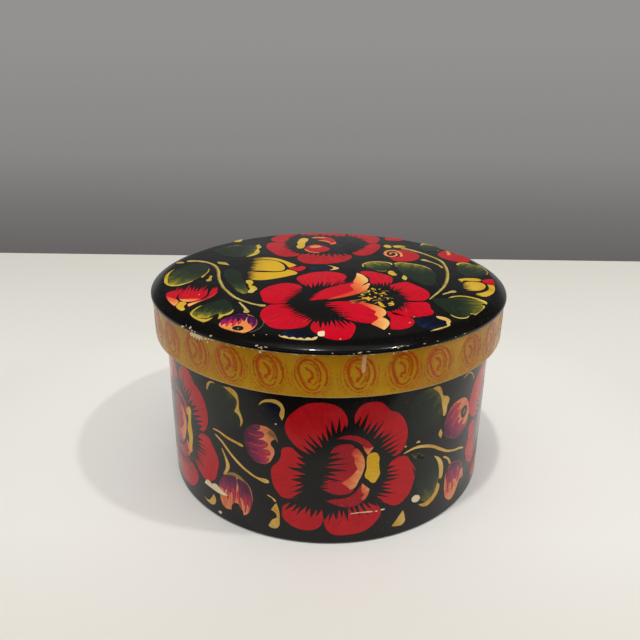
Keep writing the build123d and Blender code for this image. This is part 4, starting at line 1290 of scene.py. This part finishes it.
lid_film("red_bud", [
    combed([(-61.8, -26), (-62.7, -30), (-62.7, -34.4), (-60.5, -38.7), (-60.5, -41.1), (-61.8, -44.5, 0),
            (-63.9, -42.2), (-66.1, -38.3), (-67.5, -33.3), (-67.5, -27.6), (-65, -25)],
           4, 5.4, (-64, -60), 61),
    combed([(-51.4, -25), (-50.9, -28.9), (-51.5, -32.8), (-53.2, -36.1), (-56, -38.2), (-58.8, -38.4),
            (-61, -35.6), (-62.3, -31.1), (-61.2, -25.4)], 7, 8.6, (-57, -75), 62),
    combed([(-47.9, -20.4), (-47.3, -24), (-47, -27.4), (-48.2, -31.7), (-50.4, -35.6), (-52.7, -39),
            (-55.5, -44.5, 0), (-56.6, -41.2), (-55.4, -38.9), (-52, -36), (-50.1, -31.5), (-50, -27),
            (-49.9, -23.6)], 2, 2.6, (-52, -60), 63)],
    CRIMSON_TOP, 1, (-57, -44))
lid_film("red_bud_base", [
    shape([(-67.3, -32.4, 0), (-65.6, -33.8), (-62.8, -35.6), (-60.8, -38.9), (-60.8, -41.2),
           (-61.9, -44, 0), (-63.9, -41.8), (-66, -38)], (-63, -45, -65, -33)),
    shape([(-61.3, -35.6, 0), (-58, -35.4), (-55.2, -34.8), (-52.2, -35.2, 0), (-53.4, -36.6),
           (-56, -38.1), (-58.7, -38.3)], (-57, -39.4, -56, -33.4)),
    shape([(-47, -26.6, 0), (-48.5, -31.4), (-50.3, -35.2), (-52.2, -37.2), (-55.2, -39.8),
           (-56.3, -41.6), (-55.5, -43.9, 0), (-52.7, -38.8), (-50.2, -35.4), (-48, -31.6)],
          (-55, -43, -49, -32))],
    PEACH_RIM, 2, (-57, -44))
lid_film("red_bud_stem", [
    shape([(-60.1, -38.8), (-57.6, -39.4), (-57.5, -43.9), (-56.6, -47.8), (-58.4, -49), (-60.5, -46.7),
           (-61, -43.3)])],
    YELLOW_TOP, 1, (-57, -44))
lid_film("berries", [
    shape([(36.4, 41.6), (38.6, 42.8), (41.4, 41.2), (44.6, 37.4), (45.9, 32.4), (44.6, 26.9), (41.1, 23),
           (36.7, 21.8), (32.8, 22.8), (31.2, 26), (31, 29.4), (33.6, 29.6), (35.8, 31), (36.8, 34)]),
    shape([(55.6, 34.7), (57.6, 39.4), (60.8, 42), (62.6, 40.4), (64.4, 36.6), (67.2, 35), (70.4, 34.2),
           (71.5, 29.1), (70, 24.7), (67.2, 21.3), (63.9, 22.2), (60, 25), (56.7, 29.5)]),
    shape([(31.4, 62), (32, 67.4), (34.4, 70.4), (36.4, 67), (38.6, 70.2), (41.6, 68.4), (42.2, 64),
           (40, 61.4), (35.6, 60.6)])],
    CRIMSON_REAR, 1, (38, 32))
lid_film("berry_curls", [
    pulled([(36.6, 30.2), (36.9, 34), (36, 38.6), (33.6, 41.2), (30.8, 40.4), (29, 36.6), (29.2, 32.4),
            (31.2, 30.2), (33.8, 31.6), (34.6, 35), (33.4, 37.6), (31.6, 36.4), (31.6, 34)],
           (0.6, 1.4, 1.7, 1.8, 1.7, 1.5, 1.4, 1.3, 1.2, 1.1, 1.1, 0.9, 0.6)),
    pulled([(61.2, 41), (61.6, 37.4), (61, 34)], (0.6, 1.4, 0.8))],
    PEACH_TOP, 2, (33, 35))


# Small losses from years of use, and a paler streak down the ring. Flakes gone from the ochre under
# the lid's edge, and knocks near the foot that show the pale gesso under the black.
HALF_ROUND = 248
EDGE_BEND = 88.4


def flake(x, y, wide, high, seed, turn=0.0):
    """A chip with a broken outline."""
    rng = random.Random(seed)
    c, s = math.cos(turn), math.sin(turn)
    points = []
    for k in range(11):
        angle = math.tau * k / 11
        reach = rng.uniform(0.62, 1.08)
        u, v = math.cos(angle) * wide / 2 * reach, math.sin(angle) * high / 2 * reach
        points.append((x + c * u - s * v, y + s * u + c * v) + ((0,) if k % 3 else ()))
    return shape(points)


GESSO = brushed("bare_gesso", (206, 176, 128), (238, 218, 180), (250, 238, 214), 0.5, 0.8, roughness=0.5)
CHIPPED = brushed("chipped_ground", (188, 154, 92), (226, 204, 152), (242, 230, 194), 0.6, 0.9,
                  roughness=0.45)
# A paler ochre for the streak down the ring.
PALE_STREAK = brushed("pale_streak_ochre", (182, 128, 70), (204, 158, 108), (216, 178, 132), 0.5, 0.8,
                 roughness=0.4)
rng = random.Random(90)
ring_chips = []
for number in range(90):
    x, y = rng.uniform(-HALF_ROUND, HALF_ROUND), rng.uniform(86.85, 87.05)
    wide, high = rng.uniform(0.6, 2.6), rng.uniform(0.3, 0.75)
    ring_chips.append(flake(x, y, wide, high, 100 + number))
ring_chips.append(
    shape([(-57, 86.4, 0), (-55.8, 87.1), (-54.4, 87.15, 0), (-52.6, 87.1), (-51, 87.15, 0),
           (-49.8, 86.6), (-50, 85.2, 0), (-51, 85.8, 0), (-51.6, 84.7, 0), (-52.5, 85.6, 0),
           (-53.2, 84.7, 0), (-54, 85.8, 0), (-54.8, 84.8, 0), (-55.5, 85.6, 0), (-56.5, 85.1)]))
for seen in (
        (-48.4, 86.3, 1.6, 0.9, 2, 0.3), (-46.7, 86.6, 1.8, 0.8, 3, 0.6), (-47.3, 85.3, 0.8, 1.2, 4),
        (-45.3, 86.7, 0.9, 0.6, 5, 0.4), (-58.2, 86.9, 0.9, 0.4, 16), (-33, 86.8, 1.8, 0.5, 6),
        (-24.3, 86.2, 1.5, 1.3, 7, -0.3), (-22.9, 86.9, 2.2, 0.4, 8), (-27.4, 86.95, 1.2, 0.4, 9),
        (-17.8, 87, 1.6, 0.4, 10), (-12.6, 87, 1.2, 0.35, 11), (7.6, 87, 1.3, 0.35, 12),
        (16.4, 86.9, 1.2, 0.45, 13), (24, 86.5, 0.7, 1.0, 14), (41.6, 86.9, 1.2, 0.5, 15),
        (150, 86.5, 2.4, 1.0, 17), (-150, 86.6, 2.0, 0.8, 18), (205, 86.5, 2.6, 1.2, 19)):
    ring_chips.append(flake(*seen))
film("ring_flakes", ring_chips, CHIPPED, "lid", 3, wrap=round_ring, strip=1.0)


def round_edge(x, y, lift):
    """Wraps a flat place on to the rounded edge of the lid's board, at height y."""
    for (r0, z0), (r1, z1) in zip(EDGE, EDGE[1:]):
        if y <= z1:
            break
    reach = r0 + (r1 - r0) * max(0.0, (y - z0) / (z1 - z0))
    return round_wall(x, y + (lift if y > EDGE_BEND else 0), lift, reach, EDGE[0][0])


film("edge_flakes", [flake(*seen) for seen in (
    (-61.2, 88.1, 2.8, 0.9, 30, 0.3), (-59.2, 88.9, 0.7, 0.5, 31), (-56.6, 88.8, 1.6, 0.9, 32, 0.4),
    (-55.2, 88.1, 0.9, 0.7, 33), (-53.6, 88, 0.8, 0.5, 34), (-45.3, 88.6, 1.5, 0.6, 35, 0.2),
    (-25.6, 88.7, 1.5, 0.5, 36, 0.2), (-23.8, 88.5, 1.2, 0.35, 37), (-23.6, 88, 0.7, 0.7, 38),
    (-22, 88.7, 1.8, 0.4, 39), (-24.6, 88.2, 1.1, 0.25, 40), (1.9, 88.2, 0.7, 0.4, 41),
    (11.5, 88.2, 1.7, 0.6, 42, 0.2), (14.6, 88.4, 1.6, 0.2, 43), (9.3, 87.9, 0.8, 0.25, 44),
    (23, 88.9, 1.3, 0.3, 45), (25.6, 88.7, 0.9, 0.6, 46), (27, 89, 1.4, 0.45, 47, 0.1),
    (29.4, 88.9, 1.0, 0.2, 48), (36.2, 88.7, 1.6, 0.25, 49), (42, 88.6, 1.2, 0.3, 50),
    (50.8, 88.3, 0.6, 0.3, 51), (55.8, 88.4, 1.3, 0.3, 52), (120, 88, 1.6, 0.4, 53))],
    CHIPPED, "lid", 1, wrap=round_edge, strip=1.0)
# A paler streak down the ring.
film("ring_pale_streak", [
    shape([(12.4, 80.2, 0), (13.2, 79.9), (13.8, 83), (14, 86.9, 0), (12.6, 86.9, 0), (12.3, 83)])],
    PALE_STREAK, "lid", 3, wrap=round_ring, strip=1.0)
film("wall_flakes", [
    shape([(-57.4, 13.8, 0), (-55, 16.4), (-52.4, 15.6, 0), (-49.7, 16.8), (-47, 15.4, 0), (-42.6, 14, 0),
           (-46.3, 13), (-51.7, 13.2, 0)]),
    flake(-47.8, 3.1, 2.4, 1.8, 21), dab(39.1, 15.7, 4.4, 3.4, -0.4), flake(-19.4, 54.6, 0.9, 0.7, 23),
    flake(23.6, 14.9, 2.2, 0.8, 24), flake(20.9, 14.7, 1.6, 0.6, 28),
    pulled([(10.2, 14.9), (14, 15.1), (19.4, 14.8)], (0.1, 0.3, 0.25)),
    flake(160, 6.2, 3.2, 1.6, 26), flake(-140, 9, 2.0, 1.2, 27)],
    GESSO, "body", 5, strip=1.0)
lid_film("chip", [
    shape([(-3.4, -67.6, 0), (-1.4, -66.8), (-1, -68.8, 0), (-1.6, -71.6), (-3.2, -71.4, 0),
           (-3.6, -69.4)])],
    CHIPPED, 3)
lid_film("specks", [dab(*speck) for speck in (
    (4.6, -74, 0.5, 0.9), (22.4, -68.4, 0.5, 0.8, 0.4), (31, -57.6, 0.5, 0.9), (-22, -71, 0.4, 0.7),
    (-54, -30, 0.4, 0.8, 0.5), (-27.4, -73.6, 0.7, 0.4), (33.4, -51.6, 0.5, 0.5))],
    CHIPPED, 4)


# The table and the wall behind it, which aren't part of the box. For reflections alone the table
# ends a little way in front of the box. The wall is only there to be seen and to be mirrored, so it
# neither lights nor shades anything.
TABLE_HALF = 3
TABLE_END = -0.146
WALL_Y = 0.333
WALL_TOP = 2


def panel(name, corners, paint):
    """A flat sheet of the setting."""
    bm = bmesh.new()
    bm.faces.new([bm.verts.new(c) for c in corners])
    made = placed(name, bm, paint)
    return made


def grey(level):
    return colour(level, level, level)


def table_finish():
    """Pale matt paint with painted light brightest round the box, dark past its end for reflections alone.
    """
    finish = bpy.data.materials.new("table_top")
    finish.use_nodes = True
    tree = finish.node_tree
    clouds = ramp_of(tree, noise_of(tree, object_place(tree), 3.5, 2.0), 0.3, 0.7)
    pale = blend_of(tree, clouds, colour(224, 221, 212), colour(228, 225, 217))
    # Painted light: the table is painted brighter round the box.
    painted_light_round_box = ramp_of(tree, height_and_radius(tree)[1], 0.2, 0.09)
    pale = blend_of(tree, painted_light_round_box, pale, colour(238, 236, 230))
    ahead = put(tree, "ShaderNodeSeparateXYZ", {0: object_place(tree)}).outputs[1]
    # Painted shade and reflection: the table is painted darker in front of the box.
    pale = blend_of(tree, ramp_of(tree, ahead, -0.07, -0.14), pale, colour(221, 217, 206))
    pale = blend_of(tree, ramp_of(tree, ahead, 0.1, 0.32), pale, colour(214, 210, 200))
    gone = sum_of(tree, "MULTIPLY", ramp_of(tree, ahead, TABLE_END, TABLE_END - 0.01),
                  put(tree, "ShaderNodeLightPath").outputs["Is Glossy Ray"])
    shader = tree.nodes["Principled BSDF"]
    tree.links.new(blend_of(tree, gone, pale, colour(14, 12, 10)), shader.inputs["Base Color"])
    shader.inputs["Roughness"].default_value = 0.5
    return finish


def backdrop_finish():
    """A glow with painted shade low down, one tone for the camera and one for reflections, clear behind.
    """
    finish = bpy.data.materials.new("backdrop")
    finish.use_nodes = True
    tree = finish.node_tree
    tree.nodes.remove(tree.nodes["Principled BSDF"])
    z = put(tree, "ShaderNodeSeparateXYZ", {0: object_place(tree)}).outputs[2]
    # Painted shade: the wall's glow darkens towards the table.
    seen = blend_of(tree, ramp_of(tree, z, 0.0, 0.045), colour(102, 99, 98), colour(116, 114, 112))
    seen = blend_of(tree, ramp_of(tree, z, 0.045, 0.1), seen, colour(137, 135, 133))
    seen = blend_of(tree, ramp_of(tree, z, 0.1, 0.2), seen, colour(147, 146, 145))
    mirrored = blend_of(tree, ramp_of(tree, z, 0.155, 0.195), grey(165), grey(98))
    mirrored = blend_of(tree, ramp_of(tree, z, 0.195, 0.28), mirrored, grey(46))
    glossy = put(tree, "ShaderNodeLightPath").outputs["Is Glossy Ray"]
    tone = blend_of(tree, glossy, seen, mirrored)
    glow = put(tree, "ShaderNodeEmission", {"Color": tone, "Strength": 1.0}).outputs[0]
    clear = put(tree, "ShaderNodeBsdfTransparent").outputs[0]
    behind = put(tree, "ShaderNodeNewGeometry").outputs["Backfacing"]
    one_sided = put(tree, "ShaderNodeMixShader", {0: behind, 1: glow, 2: clear}).outputs[0]
    tree.links.new(one_sided, tree.nodes["Material Output"].inputs["Surface"])
    return finish


panel("table", [(-TABLE_HALF, -TABLE_HALF, 0), (TABLE_HALF, -TABLE_HALF, 0),
                (TABLE_HALF, TABLE_HALF, 0), (-TABLE_HALF, TABLE_HALF, 0)], table_finish())
far_wall = panel("far_wall", [(-TABLE_HALF, WALL_Y, 0), (TABLE_HALF, WALL_Y, 0),
                              (TABLE_HALF, WALL_Y, WALL_TOP), (-TABLE_HALF, WALL_Y, WALL_TOP)],
                 backdrop_finish())
far_wall.visible_diffuse = False
far_wall.visible_shadow = False


# The light of the room. A soft ceiling and two lamps, a small one close at the right and a larger
# one high at the left. What the lacquer mirrors is darker than what lights it, as in a real room.
ROOM_STRENGTH = 1.17
LAMP_AIM = (0, 0, 0.03)
world = bpy.data.worlds.new("room")
world.use_nodes = True
bpy.context.scene.world = world
tree = world.node_tree
sky = put(tree, "ShaderNodeTexCoord").outputs["Generated"]
rays = put(tree, "ShaderNodeLightPath").outputs
up = put(tree, "ShaderNodeSeparateXYZ", {0: sky}).outputs[2]
lit = blend_of(tree, ramp_of(tree, up, 0.25, 1.0), grey(80), grey(255))
mirrored = blend_of(tree, ramp_of(tree, up, 0.1, 0.5), grey(168), grey(60))
mirrored = blend_of(tree, ramp_of(tree, up, 0.85, 0.98), mirrored, grey(185))
tone = blend_of(tree, rays["Is Glossy Ray"], lit, mirrored)
tone = blend_of(tree, rays["Is Camera Ray"], tone, colour(150, 150, 153))
tree.links.new(tone, tree.nodes["Background"].inputs["Color"])
tree.nodes["Background"].inputs["Strength"].default_value = ROOM_STRENGTH


def lamp(name, place, size, watts):
    """A round lamp aimed at the box."""
    light = bpy.data.lights.new(name, "AREA")
    light.shape = "DISK"
    light.size = size
    light.energy = watts
    holder = bpy.data.objects.new(name, light)
    bpy.context.scene.collection.objects.link(holder)
    holder.location = place
    holder.rotation_euler = (Vector(LAMP_AIM) - Vector(place)).to_track_quat("-Z", "Y").to_euler()


lamp("right_lamp", (0.50, -0.22, 1.11), 0.05, 2.9)
lamp("left_lamp", (-0.387, -0.73, 4.0), 0.17, 41)


# The camera: where the photograph was taken from, by a fit of the lid's, the ring's and the
# foot's outlines.
LID_UNIT = 0.07985
CAMERA_BACK = 3.54947
CAMERA_UP = 2.29801
YAW, PITCH, ROLL = -0.01292, 0.38638, 0.00986
FOCAL_PIXELS = 645
PHOTO_PIXELS = 640
SENSOR_MM = 36
camera = bpy.data.cameras.new("camera")
camera.sensor_width = SENSOR_MM
camera.lens = FOCAL_PIXELS / PHOTO_PIXELS * SENSOR_MM
camera.clip_start = 0.01
viewer = bpy.data.objects.new("camera", camera)
bpy.context.scene.collection.objects.link(viewer)
ahead = Vector((math.sin(YAW) * math.cos(PITCH), math.cos(YAW) * math.cos(PITCH), -math.sin(PITCH)))
level = Vector((math.cos(YAW), -math.sin(YAW), 0))
upward = level.cross(ahead)
across = math.cos(ROLL) * level + math.sin(ROLL) * upward
over = -math.sin(ROLL) * level + math.cos(ROLL) * upward
station = Matrix.Translation((0, -CAMERA_BACK * LID_UNIT, CAMERA_UP * LID_UNIT))
viewer.matrix_world = station @ Matrix((across, over, -ahead)).transposed().to_4x4()
bpy.context.scene.camera = viewer
bpy.context.scene.view_settings.view_transform = "Standard"
